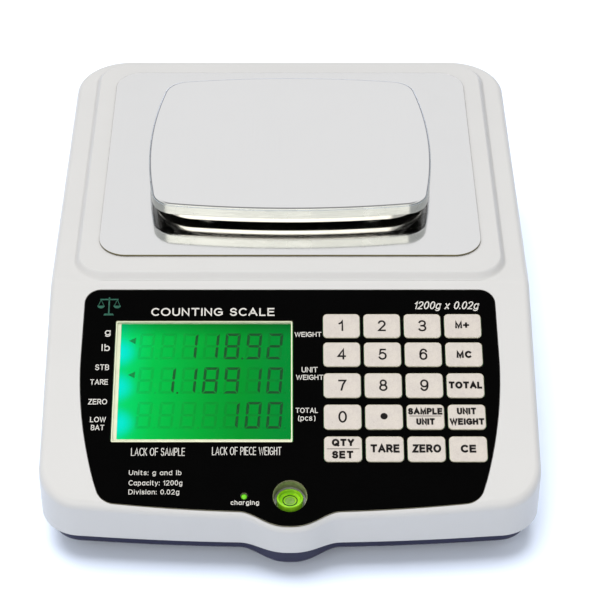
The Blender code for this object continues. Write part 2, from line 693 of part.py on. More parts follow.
def load_cell_base():
    """The spacer between the lower case's floor and the load cell's fixed rear end."""
    y = PAN_CENTRE_Y + sum(CELL_BOLT_OFFSETS) / 2
    bottom, top = FLOOR_Z + GAP, CELL_BOTTOM_Z - GAP
    block = box("load_cell_base", (0.034, 0.026, top - bottom), (0.0, y, (top + bottom) / 2), "aluminium")
    for index, row in enumerate(cell_bolt_rows(1), 1):
        cut(block, cylinder(f"spacer_bore_{index}", CELL_BOLT_RADIUS + GAP, 0.0, 0.05, (0.0, row), sides=16))
    return block


def bolt(name, place, head_bottom, head_top, shank_bottom, shank_top):
    """A socket-head bolt along Z, with its shank running up or down from the head."""
    made = cylinder(name, 0.0036, head_bottom, head_top, place, "steel", 20)
    join(made, cylinder(name + "_shank", CELL_BOLT_RADIUS, shank_bottom, shank_top, place, sides=16))
    socket_at = head_bottom if shank_top > head_top else head_top
    return cut(made, cylinder(name + "_socket", 0.0016, socket_at - 0.0015, socket_at + 0.0015, place, sides=6))


def cell_bolts():
    """Two bolts up through the floor into the cell's fixed end, two down through the spider into its free end."""
    for index, y in enumerate(cell_bolt_rows(1), 1):
        bolt(f"load_cell_bolt_{index}", (0.0, y), BASE_Z - GAP - 0.003, BASE_Z - GAP, BASE_Z - 0.001, 0.036)
    top = SPIDER_Z + SPIDER_THICKNESS + GAP
    for index, y in enumerate(cell_bolt_rows(-1), 1):
        bolt(f"spider_bolt_{index}", (0.0, y), top, top + 0.003, 0.024, top + 0.001)


def pan_spider():
    """The frame on the load cell's free end: a plate with four posts that come up through the deck."""
    top = SPIDER_Z + SPIDER_THICKNESS
    plate_loop = rounded_rectangle((0.1, 0.082), 0.008, (0.0, PAN_CENTRE_Y))
    windows = [
        rounded_rectangle((0.024, 0.050), 0.006, (sign * 0.029, PAN_CENTRE_Y), 3) for sign in (-1, 1)
    ]
    spider = slab("pan_spider", [plate_loop, *windows], SPIDER_Z, top, "aluminium")
    front, rear = cell_bolt_rows(-1)[1] - 0.006, PAN_CENTRE_Y - 0.030
    join(spider, box("spider_tongue", (0.030, rear - front, SPIDER_THICKNESS - 0.0002),
                     (0.0, (front + rear) / 2, SPIDER_Z + SPIDER_THICKNESS / 2)))
    block_bottom = CELL_BOTTOM_Z + CELL_SIZE[2] + GAP
    block_y = PAN_CENTRE_Y - sum(CELL_BOLT_OFFSETS) / 2
    join(spider, box("spider_block", (0.028, 0.024, SPIDER_Z + 0.001 - block_bottom),
                     (0.0, block_y, (SPIDER_Z + 0.001 + block_bottom) / 2)))
    post_top = PAN_TOP_Z - 2 * (SHEET + GAP)
    for index, x in enumerate((-POST_X, POST_X)):
        for row, y in enumerate((-POST_Y, POST_Y)):
            post = cylinder(f"post_{index}_{row}", POST_RADIUS, SPIDER_Z + 0.001, post_top,
                            (x, PAN_CENTRE_Y + y), sides=20)
            join(spider, post)
    for index, y in enumerate(cell_bolt_rows(-1), 1):
        cut(spider, cylinder(f"spider_bore_{index}", CELL_BOLT_RADIUS + GAP, 0.03, 0.07, (0.0, y), sides=16))
    return spider


# ---- Operator panel -----------------------------------------------------------------------------------------
def key_places():
    """Every key's name with its place: x, and the distance down the slope."""
    for row, names in zip(KEY_ROWS, KEY_NAMES):
        for column, name in zip(KEY_COLUMNS, names):
            yield name, (column, row)


def panel_overlay(frame):
    """The black overlay sheet, with openings for the keys, the display, the level and the charging light."""
    loops = [overlay_outline(), window_loop(WINDOW_SIZE)]
    loops += [circle_loop(LEVEL_PLACE, LEVEL_HOLE_RADIUS, 32), circle_loop(LED_PLACE, LED_RADIUS + GAP, 16)]
    opening = (KEY_SIZE[0] + 2 * GAP, KEY_SIZE[1] + 2 * GAP)
    for _, (x, down) in key_places():
        loops.append(rounded_rectangle(opening, KEY_CORNER + GAP, (x, -down), 2))
    return on_panel(slab("panel_overlay", loops, -OVERLAY_THICKNESS, 0.0, "overlay"), frame)


def keypad_circuit(frame):
    """The contact sheet under the keys."""
    left, right = KEY_COLUMNS[0] - 0.014, KEY_COLUMNS[-1] + 0.0092
    low, high = KEY_ROWS[-1] + 0.0072, KEY_ROWS[0] - 0.0115
    loop = rounded_rectangle((right - left, low - high), 0.003, ((left + right) / 2, -(low + high) / 2), 3)
    return on_panel(slab("keypad_circuit", [loop], CIRCUIT_TOP - CIRCUIT_THICKNESS, CIRCUIT_TOP, "circuit"), frame)


def keys(frame):
    """Twenty keys that travel straight into the panel."""
    for name, place in key_places():
        key = slab(name, [rounded_rectangle(KEY_SIZE, KEY_CORNER, segments=2)],
                   KEY_PROUD - KEY_THICKNESS, KEY_PROUD, "key")
        on_panel(key, frame, place)


def display(frame):
    """The display's window, bezel, liquid-crystal panel and backlight, one behind the other."""
    window = slab("display_window", [window_loop(WINDOW_SIZE, -GAP)], -0.0009, -0.0001, "clear")
    view_centre = (LCD_VIEW_CENTRE[0], -LCD_VIEW_CENTRE[1])
    view = rounded_rectangle(LCD_VIEW_SIZE, 0.0006, view_centre, 2)
    bezel = slab("display_bezel", [window_loop(WINDOW_SIZE, -GAP), view], BEZEL_BOTTOM, BEZEL_TOP, "bezel")
    glass_size = (LCD_VIEW_SIZE[0] + LCD_MARGIN[0], LCD_VIEW_SIZE[1] + LCD_MARGIN[1])
    glass_centre = (LCD_VIEW_CENTRE[0] - 0.0005, -LCD_VIEW_CENTRE[1])
    glass = box("lcd_panel", (*glass_size, LCD_THICKNESS), (*glass_centre, LCD_TOP - LCD_THICKNESS / 2), "lcd")
    light_top = LCD_TOP - LCD_THICKNESS - GAP
    light = box("backlight_panel", (*glass_size, BACKLIGHT_THICKNESS),
                (*glass_centre, light_top - BACKLIGHT_THICKNESS / 2), "clear")
    for piece in (window, bezel, glass, light):
        on_panel(piece, frame)


def charge_led(frame):
    """The charging light: a small round lamp with a domed end, behind its hole in the overlay."""
    led = cylinder("charge_led", LED_RADIUS, -0.006, -0.0003, (0.0, 0.0), "led", 16)
    round_edges(led, 0.0005, 2)
    return on_panel(led, frame, LED_PLACE)


def level_vial():
    """The round spirit level, upright in its cup."""
    vial = cylinder("level_vial", VIAL_RADIUS, VIAL_TOP_Z - VIAL_HEIGHT, VIAL_TOP_Z, vial_centre(), "level")
    return round_edges(vial, 0.0006, 2)


def main_board(frame):
    """The circuit board behind the panel, with its main chip, its regulator and its connectors."""
    centre = (0.0, -0.0540)
    under = BOARD_TOP - BOARD_THICKNESS
    board = box("main_board", (0.158, 0.070, BOARD_THICKNESS), (*centre, BOARD_TOP - BOARD_THICKNESS / 2), "circuit")
    parts = {
        "chip": ((0.016, 0.016, 0.0032), (0.03, 0.005)),
        "converter": ((0.010, 0.012, 0.0040), (-0.045, -0.010)),
        "connector_left": ((0.012, 0.006, 0.0070), (-0.062, 0.025)),
        "connector_right": ((0.016, 0.006, 0.0070), (0.058, 0.025)),
    }
    for name, (size, (x, y)) in parts.items():
        place = (centre[0] + x, centre[1] + y, under - size[2] / 2 + 0.0005)
        join(board, on_panel(box("board_" + name, size, place), frame))
    return on_panel(board, frame)


# ---- Power --------------------------------------------------------------------------------------------------
def battery():
    x, y = BATTERY_CENTRE
    bottom = FLOOR_Z + GAP
    pack = box("battery", BATTERY_SIZE, (x, y, bottom + BATTERY_SIZE[2] / 2), "battery")
    for index, offset in enumerate((-0.036, 0.036), 1):
        terminal = box(f"terminal_{index}", (0.0048, 0.0008, 0.008), (x, y + offset, bottom + BATTERY_SIZE[2] + 0.002))
        join(pack, terminal)
    return pack


def battery_strap():
    """The metal strap over the battery, with a foot on the floor on each side."""
    x, y = BATTERY_CENTRE
    inner = BATTERY_SIZE[0] / 2 + GAP
    outer = inner + STRAP_THICKNESS
    low, high = FLOOR_Z + GAP, FLOOR_Z + 2 * GAP + BATTERY_SIZE[2]
    foot = 0.0075
    right = [(inner, high), (inner, low), (outer + foot, low), (outer + foot, low + STRAP_THICKNESS)]
    right += [(outer, low + STRAP_THICKNESS), (outer, high + STRAP_THICKNESS)]
    left = [(-px, py) for px, py in reversed(right)]
    strap = slab("battery_strap", [right + left], -STRAP_WIDTH / 2, STRAP_WIDTH / 2, "steel")
    strap.rotation_euler = (math.radians(90), 0.0, 0.0)
    strap.location = (x, y, 0.0)
    return strap


def dc_jack():
    """The power inlet: a round socket with its centre pin, flush with the rear wall."""
    jack = rear_cylinder("dc_jack", JACK_RADIUS, -JACK_DEPTH, 0.0005, JACK_CENTRE, "black")
    cut(jack, rear_cylinder("jack_bore", JACK_BORE_RADIUS, -0.0095, 0.01, JACK_CENTRE, sides=24))
    join(jack, rear_cylinder("jack_pin", JACK_PIN_RADIUS, -JACK_DEPTH + 0.002, -0.0008, JACK_CENTRE, sides=12))
    return jack


def switch_body():
    """The power switch's flange and its box behind the wall, hollow for the rocker."""
    x, z = SWITCH_CENTRE
    body = box("switch_body", (SWITCH_HOLE[0], 0.016, SWITCH_HOLE[1]), (x, REAR_Y - 0.0075, z), "black")
    flange_depth = SWITCH_FLANGE_PROUD - GAP
    join(body, box("switch_flange", (SWITCH_FLANGE[0], flange_depth, SWITCH_FLANGE[1]),
                   (x, REAR_Y + GAP + flange_depth / 2, z)))
    well = (ROCKER_SIZE[0] + 0.0034, 0.012, ROCKER_SIZE[1] + 0.0010)
    cut(body, box("switch_well", well, (x, REAR_Y + SWITCH_FLANGE_PROUD + 0.001 - well[1] / 2, z)))
    return body


def switch_rocker():
    """The rocker at rest with its left half pressed; it turns about a vertical axis in the switch's well."""
    x, z = SWITCH_CENTRE
    half = ROCKER_SIZE[0] / 2
    dip = half * math.tan(ROCKER_TILT)
    front = ROCKER_REACH - dip
    outline = [(-half, front + dip), (0.0, front), (half, front + dip)]
    outline += arc((0.0, front - 0.0036), half * 0.98, -2, -178, 10)
    rocker = slab("switch_rocker", [outline[::-1]], -ROCKER_SIZE[1] / 2, ROCKER_SIZE[1] / 2, "black")
    rocker.location = (x, REAR_Y - ROCKER_PIVOT_DEPTH, z)
    trim = box("rocker_trim", (0.03, 0.02, 0.02), (x, REAR_Y - ROCKER_PIVOT_DEPTH - 0.0138, z))
    cut(rocker, trim)
    for piece in (rocker, trim):
        piece.rotation_euler = (0.0, 0.0, -ROCKER_TILT)
    return rocker


# ---- Feet and cables ----------------------------------------------------------------------------------------
def feet():
    """Four levelling feet: a rubber pad that only slides, and a thumb wheel with its stud that screws."""
    wheel_bottom = FOOT_PAD_HEIGHT + GAP
    wheel_top = wheel_bottom + FOOT_WHEEL_HEIGHT
    for name, place in FOOT_PLACES.items():
        pad = cylinder(f"foot_pad_{name}", FOOT_PAD_RADIUS, 0.0, FOOT_PAD_HEIGHT, place, "rubber", 28)
        round_edges(pad, 0.0006, 1)
        wheel = cylinder(f"foot_screw_{name}", FOOT_WHEEL_RADIUS, wheel_bottom, wheel_top, place, "black", 36)
        scallop(wheel)
        stud = cylinder(f"foot_stud_{name}", FOOT_STUD_RADIUS, wheel_top - 0.001, FOOT_STUD_TOP, place, sides=16)
        join(wheel, stud)


def scallop(wheel):
    """Moves every third pair of rim points inwards, for a grip on the thumb wheel."""
    for vertex in wheel.data.vertices:
        angle = math.degrees(math.atan2(vertex.co.y, vertex.co.x)) % 30
        if angle < 5 or angle > 25:
            vertex.co.x *= 0.93
            vertex.co.y *= 0.93


def cables():
    """The load cell's cable and the battery's lead, each along its whole route to the main board."""
    cable("load_cell_cable", [
        (0.0168, 0.112, 0.024), (0.0220, 0.108, 0.0185), (0.0245, 0.092, 0.0140), (0.0270, 0.050, 0.0128),
        (0.0290, 0.000, 0.0128), (0.0310, -0.040, 0.0132), (0.0330, -0.062, 0.0170), (0.0340, -0.072, 0.0240),
    ], 0.0013)
    cable("battery_lead", [
        (-0.080, -0.0175, 0.0735), (-0.074, -0.0260, 0.0700), (-0.068, -0.0330, 0.0600), (-0.064, -0.0400, 0.0500),
        (-0.062, -0.0520, 0.0410),
    ], 0.0012)


def main():
    start_scene()
    frame = panel_frame()
    bottom_housing()
    case = top_housing(frame)
    bore_case_bosses(case)
    case_screws()
    deck_plate()
    load_cell_base()
    load_cell()
    cell_bolts()
    pan_spider()
    pan_carrier()
    weighing_pan()
    panel_overlay(frame)
    keypad_circuit(frame)
    keys(frame)
    display(frame)
    charge_led(frame)
    level_vial()
    main_board(frame)
    battery()
    battery_strap()
    dc_jack()
    switch_body()
    switch_rocker()
    feet()
    cables()


main()
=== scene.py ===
"""Looks of the counting scale, built in the frame of its CAD model: metres, +Z up, the operator panel faces -Y."""

import math

import bmesh
import bpy
from mathutils import Matrix, Vector

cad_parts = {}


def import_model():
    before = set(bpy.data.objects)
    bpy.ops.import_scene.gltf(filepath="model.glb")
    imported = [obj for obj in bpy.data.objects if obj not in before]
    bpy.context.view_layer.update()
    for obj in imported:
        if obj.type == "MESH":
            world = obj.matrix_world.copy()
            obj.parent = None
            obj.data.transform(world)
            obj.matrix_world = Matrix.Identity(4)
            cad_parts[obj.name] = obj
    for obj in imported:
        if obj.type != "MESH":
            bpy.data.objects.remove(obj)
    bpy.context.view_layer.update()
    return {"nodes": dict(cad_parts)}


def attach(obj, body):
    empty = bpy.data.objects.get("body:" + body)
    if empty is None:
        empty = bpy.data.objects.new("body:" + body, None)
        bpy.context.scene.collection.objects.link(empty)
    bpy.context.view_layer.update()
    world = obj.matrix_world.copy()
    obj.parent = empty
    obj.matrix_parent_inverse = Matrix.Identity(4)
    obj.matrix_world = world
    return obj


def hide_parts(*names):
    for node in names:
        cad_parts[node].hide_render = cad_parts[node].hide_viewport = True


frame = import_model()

# ---- Dimensions, the same as the CAD model's ----
BODY_WIDTH = 0.2343
REAR_Y, FRONT_Y = 0.1582, -0.1558
FRONT_BOW = 0.49           # the front wall curves back by this times x squared, per metre
BUMP_HALF_WIDTH = 0.0235   # swelling of the front wall in front of the spirit level
TOP_BUMP, BASE_BUMP = 0.0064, 0.0095
BUMP_SHARPNESS = 1.25
REAR_CORNER, FRONT_CORNER = 0.028, 0.020
SHOULDER_Z = 0.080
PANEL_TOP_Y = -0.0396
PANEL_SLOPE = math.radians(21.0)
SEAM_Z, BASE_Z, BASE_RIM_Z = 0.0167, 0.0083, 0.024
BASE_INSET = 0.0045
WALL, PANEL_WALL = 0.0025, 0.0048
EDGE_RADIUS, CREASE_RADIUS = 0.0035, 0.012
GAP = 0.0003

DECK_CENTRE_Y, DECK_SIZE, DECK_Z, DECK_CORNER = 0.0560, (0.214, 0.1902), 0.083, 0.016
DECK_RAMP = 0.0034         # width of the soft step up to the raised deck
PLATE_CENTRE_Y, PLATE_SIZE, PLATE_CORNER = 0.0574, (0.190, 0.1632), 0.014
PLATE_Z, PLATE_THICKNESS, PLATE_BEVEL, SHEET_BEVEL = 0.0833, 0.0008, 0.00012, 0.0001

PAN_CENTRE_Y, PAN_SIZE, PAN_CORNER = 0.0556, (0.145, 0.1185), 0.012
PAN_SIDE_RADIUS, PAN_END_RADIUS, PAN_WIDEST_SHIFT = 0.240, 0.450, -0.006
PAN_TOP_Z, PAN_RIM, SHEET = 0.097, 0.0063, 0.001
CARRIER_BOTTOM_Z, CARRIER_STEP_Z = 0.0868, 0.0901
CARRIER_INSET, CARRIER_TOP_INSET, CARRIER_CORNER = 0.0025, 0.010, 0.022
POST_X, POST_Y, POST_HOLE_RADIUS = 0.042, 0.032, 0.0065

OVERLAY_TOP, OVERLAY_BOTTOM, OVERLAY_RECESS, OVERLAY_THICKNESS = 0.0051, 0.1228, 0.0023, 0.001
OVERLAY_TOP_HALF, OVERLAY_WIDEST_HALF, OVERLAY_WIDEST, OVERLAY_TAPER = 0.0995, 0.1000, 0.0450, 2.28
OVERLAY_BOW, OVERLAY_BUMP = 0.64, 0.0071
OVERLAY_TOP_CORNER, OVERLAY_LOW_CORNER, OVERLAY_LOW_CORNER_CENTRE = 0.0075, 0.0095, (0.0805, -0.1091)
KEY_SIZE, KEY_CORNER, KEY_THICKNESS, KEY_PROUD = (0.0176, 0.0129), 0.002, 0.0011, 0.0005
KEY_COLUMNS = [0.0248 + 0.0195 * column for column in range(4)]
KEY_ROWS = [0.0253] + [0.0409 + 0.0167 * row for row in range(4)]
KEY_NAMES = [
    ["key_1", "key_2", "key_3", "key_memory_add"],
    ["key_4", "key_5", "key_6", "key_memory_clear"],
    ["key_7", "key_8", "key_9", "key_total"],
    ["key_0", "key_point", "key_sample_unit", "key_unit_weight"],
    ["key_quantity_set", "key_tare", "key_zero", "key_clear"],
]
WINDOW_CENTRE, WINDOW_SIZE = (-0.0414, 0.0548), (0.0856, 0.0652)
LCD_VIEW_CENTRE, LCD_VIEW_SIZE = (-0.0405, 0.05415), (0.0820, 0.0623)
BEZEL_TOP, BEZEL_BOTTOM, LCD_TOP = -0.0012, -0.0020, -0.0023
BEZEL_LIP = 0.0005         # the bezel's wall stands up round the window film
BEZEL_WALL_TOP, FILM_BOTTOM, FILM_TOP = -0.0002, -0.0009, -0.0003
WINDOW_CORNER, BEZEL_CORNER, FILM_CORNER = 0.0008, 0.0006, 0.0004
LED_PLACE, LED_RADIUS = (-0.0212, 0.1149), 0.0014
LEVEL_PLACE, LEVEL_HOLE_RADIUS, LEVEL_BORE_DEPTH = (0.0, 0.1148), 0.008, 0.0072
LEVEL_CUP_RADIUS, LEVEL_CUP_DEPTH = 0.0105, 0.0120
VIAL_RADIUS, VIAL_TOP_Z, VIAL_HEIGHT, VIAL_SHIFT = 0.0062, 0.0360, 0.006, 0.0015

FOOT_PLACES = {
    "front_left": (-0.090, -0.124), "front_right": (0.090, -0.124),
    "rear_left": (-0.090, 0.130), "rear_right": (0.090, 0.130),
}
FOOT_RECESS_RADIUS, FOOT_RECESS_DEPTH = 0.0145, 0.004
SCREW_PLACES = [(-0.1005, 0.098), (0.1005, 0.098), (-0.1005, -0.088), (0.1005, -0.088)]
SWITCH_CENTRE, SWITCH_HOLE = (0.052, 0.048), (0.0194, 0.0134)
JACK_CENTRE, JACK_RADIUS = (0.082, 0.048), 0.0052
CELL_BOLT_OFFSETS, CELL_BOLT_RADIUS = (0.047, 0.059), 0.0023
FOOT_RECESS_WALL, FOOT_BOSS_RADIUS, FOOT_BORE_RADIUS = 0.002, 0.007, 0.0034
SCREW_POST_RADIUS, SCREW_HEAD_RADIUS, SCREW_HEAD_TOP, SCREW_BORE_RADIUS = 0.0045, 0.0034, 0.014, 0.0018
LEVEL_CUP_TOP, LEVEL_FLOOR_Z = 0.0032, 0.0343
RING_RADII, RING_HEIGHT = (0.00355, 0.00305), 0.00012
BUBBLE_RADIUS, BUBBLE_HEIGHT = 0.00265, 0.0007
BEYOND = 0.01              # how far a cutting shape reaches past the surface that it opens
THROUGH = (0.0, 0.05)      # heights between which a bore in the lower case is cut
INSIDE_Z, ABOVE_Z = 0.06, 0.09      # heights under and over the case's top, where cutting shapes end

PANEL = Matrix.Translation((0.0, PANEL_TOP_Y, SHOULDER_Z)) @ Matrix.Rotation(PANEL_SLOPE, 4, "X")
scene = bpy.context.scene


# ---- Outlines ----
def arc(centre, radius, start, end, segments):
    angles = [math.radians(start + (end - start) * i / segments) for i in range(segments + 1)]
    return [(centre[0] + radius * math.cos(a), centre[1] + radius * math.sin(a)) for a in angles]


def mirrored(right_half):
    """A closed loop from the points of its right half, which run from the front centre to the rear centre."""
    return right_half + [(-x, y) for x, y in reversed(right_half) if x > 1e-9]


def rounded_rectangle(size, corner, centre=(0.0, 0.0), segments=8):
    x, y = size[0] / 2 - corner, size[1] / 2 - corner
    loop = []
    for sign_x, sign_y, start in ((1, -1, -90), (1, 1, 0), (-1, 1, 90), (-1, -1, 180)):
        middle = (centre[0] + sign_x * x, centre[1] + sign_y * y)
        loop += arc(middle, corner, start, start + 90, segments)
    return loop


def circle(radius, centre=(0.0, 0.0), segments=48):
    return arc(centre, radius, 0, 360, segments)[:-1]


def grown(size, margin):
    return size[0] + 2 * margin, size[1] + 2 * margin


def panel_rectangle(centre, size, margin, corner):
    """A rectangle in the panel's frame about (x, distance down the slope), grown by a margin all round."""
    return rounded_rectangle(grown(size, margin), corner, (centre[0], -centre[1]), 3)


def quarter(radius, steps):
    """A quarter round as two distances that run from (0, radius) to (radius, 0)."""
    angles = [math.pi / 2 * step / steps for step in range(steps + 1)]
    return [(radius * (1 - math.cos(a)), radius * (1 - math.sin(a))) for a in angles]


def front_y(x, middle, bow, bump):
    """A front edge's y at x: bowed back from its middle, with the bump in front of the spirit level."""
    share = min(1.0, abs(x) / BUMP_HALF_WIDTH)
    return middle + bow * x * x - bump * math.cos(math.pi / 2 * share ** BUMP_SHARPNESS) ** 2


def front_edge(end, *shape):
    """A front edge's points from its middle to just before x = end."""
    stops = [BUMP_HALF_WIDTH * i / 20 for i in range(20)]
    stops += [BUMP_HALF_WIDTH + (end - BUMP_HALF_WIDTH) * i / 12 for i in range(12)]
    return [(x, front_y(x, *shape)) for x in stops]


def body_outline(inset=0.0, bump=TOP_BUMP):
    """The case's outline in plan: round corners, a bowed front and its bump."""
    half, front, rear = BODY_WIDTH / 2 - inset, FRONT_CORNER - inset, REAR_CORNER - inset
    shape = (FRONT_Y + inset, FRONT_BOW, bump)
    right = front_edge(half - front, *shape)
    right += arc((half - front, front_y(half - front, *shape) + front), front, -84, 0, 16)
    right += arc((half - rear, REAR_Y - inset - rear), rear, 0, 90, 20)
    return mirrored(right)


def circle_meeting(first, first_radius, second, second_radius):
    """The meeting point of two circles that has the larger x."""
    a, b = Vector(first), Vector(second)
    apart = (b - a).length
    along = (first_radius ** 2 - second_radius ** 2 + apart ** 2) / (2 * apart)
    across = math.sqrt(first_radius ** 2 - along ** 2)
    unit = (b - a) / apart
    side = Vector((-unit.y, unit.x))
    return max((a + unit * along + side * across, a + unit * along - side * across), key=lambda p: p.x)


def bulged_outline(inset=0.0, corner=PAN_CORNER):
    """The pan's outline: four bulging sides that meet in round corners."""
    side, shrink = (PAN_SIZE[0] / 2 - PAN_SIDE_RADIUS, PAN_WIDEST_SHIFT), inset + corner
    corners = []
    for sign in (-1, 1):
        end = (0.0, sign * (PAN_SIZE[1] / 2 - PAN_END_RADIUS))
        meeting = circle_meeting(side, PAN_SIDE_RADIUS - shrink, end, PAN_END_RADIUS - shrink)
        angles = [math.degrees(math.atan2(meeting.y - y, meeting.x - x)) for x, y in (end, side)]
        corners.append((end, meeting, *angles))
    (front, low, front_angle, low_angle), (rear, high, rear_angle, high_angle) = corners
    right = arc(front, PAN_END_RADIUS - inset, -90, front_angle, 10)[:-1]
    right += arc(low, corner, front_angle, low_angle, 14)
    right += arc(side, PAN_SIDE_RADIUS - inset, low_angle, high_angle, 14)[1:-1]
    right += arc(high, corner, high_angle, rear_angle, 14)
    right += arc(rear, PAN_END_RADIUS - inset, rear_angle, 90, 10)[1:]
    return [(x, y + PAN_CENTRE_Y) for x, y in mirrored(right)]


def overlay_outline(inset=0.0):
    """The overlay's outline in the panel's frame: bulging sides, tapering to the front, and the front bump."""
    right = front_edge(OVERLAY_LOW_CORNER_CENTRE[0], -OVERLAY_BOTTOM + inset, OVERLAY_BOW, OVERLAY_BUMP)
    right += arc(OVERLAY_LOW_CORNER_CENTRE, OVERLAY_LOW_CORNER - inset, -84, -17, 12)
    for step in range(15, -1, -1):
        below = (OVERLAY_BOTTOM - OVERLAY_LOW_CORNER - OVERLAY_WIDEST) * 0.9 * step / 15
        right.append((OVERLAY_WIDEST_HALF - inset - OVERLAY_TAPER * below * below, -OVERLAY_WIDEST - below))
    corner = OVERLAY_TOP_CORNER - inset
    right += arc((OVERLAY_TOP_HALF - OVERLAY_TOP_CORNER, -OVERLAY_TOP - OVERLAY_TOP_CORNER), corner, 0, 90, 12)
    return mirrored(right)


def side_profile(deck_wall, panel_wall):
    """The case's top as a side view of (y, z) points: level, then sloping, closed underneath."""
    beyond, below = 0.02, -0.03
    top = SHOULDER_Z - deck_wall
    crease_y = PANEL_TOP_Y + (panel_wall - deck_wall * math.cos(PANEL_SLOPE)) / math.sin(PANEL_SLOPE)
    radius = CREASE_RADIUS - deck_wall
    centre = (crease_y + radius * math.tan(PANEL_SLOPE / 2), top - radius)
    crease = arc(centre, radius, 90, 90 + math.degrees(PANEL_SLOPE), 10)
    front_y = FRONT_Y - beyond
    front_z = top - (crease_y - front_y) * math.tan(PANEL_SLOPE)
    return [(REAR_Y + beyond, below), (REAR_Y + beyond, top)] + crease + [(front_y, front_z), (front_y, below)]


# ---- Mesh builders ----
def new_object(name, edit, matrix=None):
    """An object from an edited mesh, with its faces turned outwards."""
    bmesh.ops.recalc_face_normals(edit, faces=edit.faces)
    mesh = bpy.data.meshes.new(name)
    edit.to_mesh(mesh)
    edit.free()
    made = bpy.data.objects.new(name, mesh)
    scene.collection.objects.link(made)
    if matrix:
        made.matrix_world = matrix
    return made


def add_loft(edit, rings, closed=False):
    """Adds a skin over rings of equal count: a body with flat ends or, if closed, a tube back to its first ring."""
    rows = [[edit.verts.new(point) for point in ring] for ring in rings]
    count = len(rows[0])
    for lower, upper in zip(rows, rows[1:] + rows[:1] if closed else rows[1:]):
        for i in range(count):
            after = (i + 1) % count
            edit.faces.new((lower[i], lower[after], upper[after], upper[i]))
    if not closed:
        edit.faces.new(rows[0][::-1])
        edit.faces.new(rows[-1])


def loft(name, rings, matrix=None, closed=False):
    edit = bmesh.new()
    add_loft(edit, rings, closed)
    return new_object(name, edit, matrix)


def raised(loop, z):
    return [(x, y, z) for x, y in loop]


def prism(name, loop, bottom, top, matrix=None):
    return loft(name, [raised(loop, bottom), raised(loop, top)], matrix)


def rod(radius, place, bottom, top, segments=32):
    return prism("rod", circle(radius, place, segments), bottom, top)


def turned(name, profile, segments, matrix, wave=None):
    """A body of revolution from (radius, z) points, with flat ends; wave(angle, radius) scales its radius."""
    angles = [2 * math.pi * i / segments for i in range(segments)]
    rings = []
    for radius, z in profile:
        reaches = [radius * (wave(a, radius) if wave else 1.0) for a in angles]
        rings.append([(reach * math.cos(a), reach * math.sin(a), z) for reach, a in zip(reaches, angles)])
    return loft(name, rings, matrix)


def evaluated_mesh(obj):
    graph = bpy.context.evaluated_depsgraph_get()
    return bpy.data.meshes.new_from_object(obj.evaluated_get(graph))


def slab(name, loops, bottom, top, bevel=0.0, matrix=None):
    """A flat outline with holes, given thickness and small rounded edges, welded into a closed mesh."""
    curve = bpy.data.curves.new(name, "CURVE")
    curve.dimensions = "2D"
    curve.fill_mode = "BOTH"
    curve.extrude = (top - bottom) / 2 - bevel
    curve.bevel_depth = bevel
    curve.bevel_resolution = 2
    curve.offset = -bevel
    for loop in loops:
        spline = curve.splines.new("POLY")
        spline.points.add(len(loop) - 1)
        for point, (x, y) in zip(spline.points, loop):
            point.co = (x, y, 0.0, 1.0)
        spline.use_cyclic_u = True
    source = bpy.data.objects.new(name, curve)
    scene.collection.objects.link(source)
    mesh = evaluated_mesh(source)
    bpy.data.objects.remove(source)
    edit = bmesh.new()
    edit.from_mesh(mesh)
    bpy.data.meshes.remove(mesh)
    bmesh.ops.remove_doubles(edit, verts=edit.verts, dist=1e-6)
    bmesh.ops.translate(edit, vec=(0.0, 0.0, (top + bottom) / 2), verts=edit.verts)
    return new_object(name, edit, matrix)


def boolean(operation, obj, *others):
    """Applies a Boolean with each helper object and removes the helper."""
    for other in others:
        modifier = obj.modifiers.new(operation, "BOOLEAN")
        modifier.operation, modifier.solver, modifier.object = operation, "EXACT", other
        mesh = evaluated_mesh(obj)
        obj.modifiers.clear()
        obj.data = mesh
        bpy.data.objects.remove(other)
    return obj


def cut(obj, *others):
    return boolean("DIFFERENCE", obj, *others)


def join(obj, *others):
    return boolean("UNION", obj, *others)


def round_edges(obj, width, segments, angle, chosen):
    """Bevels the edges sharper than an angle in degrees that chosen(edge) picks."""
    edit = bmesh.new()
    edit.from_mesh(obj.data)
    edges = [e for e in edit.edges
             if len(e.link_faces) == 2 and e.calc_face_angle() > math.radians(angle) and chosen(e)]
    bmesh.ops.bevel(edit, geom=edges, offset=width, segments=segments, profile=0.5, affect="EDGES",
                    clamp_overlap=False)
    edit.to_mesh(obj.data)
    edit.free()


def finished(obj, look, body, nodes=(), angle=32.0):
    """Gives a piece its shading, material and body, and hides the CAD nodes that it stands for."""
    obj.data.shade_smooth()
    obj.data.set_sharp_from_angle(angle=math.radians(angle))
    modifier = obj.modifiers.new("weighted_normals", "WEIGHTED_NORMAL")
    modifier.keep_sharp = True
    modifier.weight = 80
    obj.data.materials.append(look.material)
    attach(obj, body)
    if nodes:
        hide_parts(*nodes)


def dress_edges(obj, look, level):
    """Gives a second material to the faces whose normal's upward part is under a level."""
    obj.data.materials.append(look.material)
    for face in obj.data.polygons:
        if abs(face.normal.z) < level:
            face.material_index = 1


def on_panel(place):
    """The panel's frame moved to (x, distance down the slope)."""
    return PANEL @ Matrix.Translation((place[0], -place[1], 0.0))


# ---- Materials ----
def set_stops(ramp, stops):
    """Fills a colour ramp node from (position, colour) stops."""
    elements = ramp.color_ramp.elements
    while len(elements) < len(stops):
        elements.new(0.5)
    for element, (position, colour) in zip(elements, stops):
        element.position = position
        element.color = (*colour, 1.0)


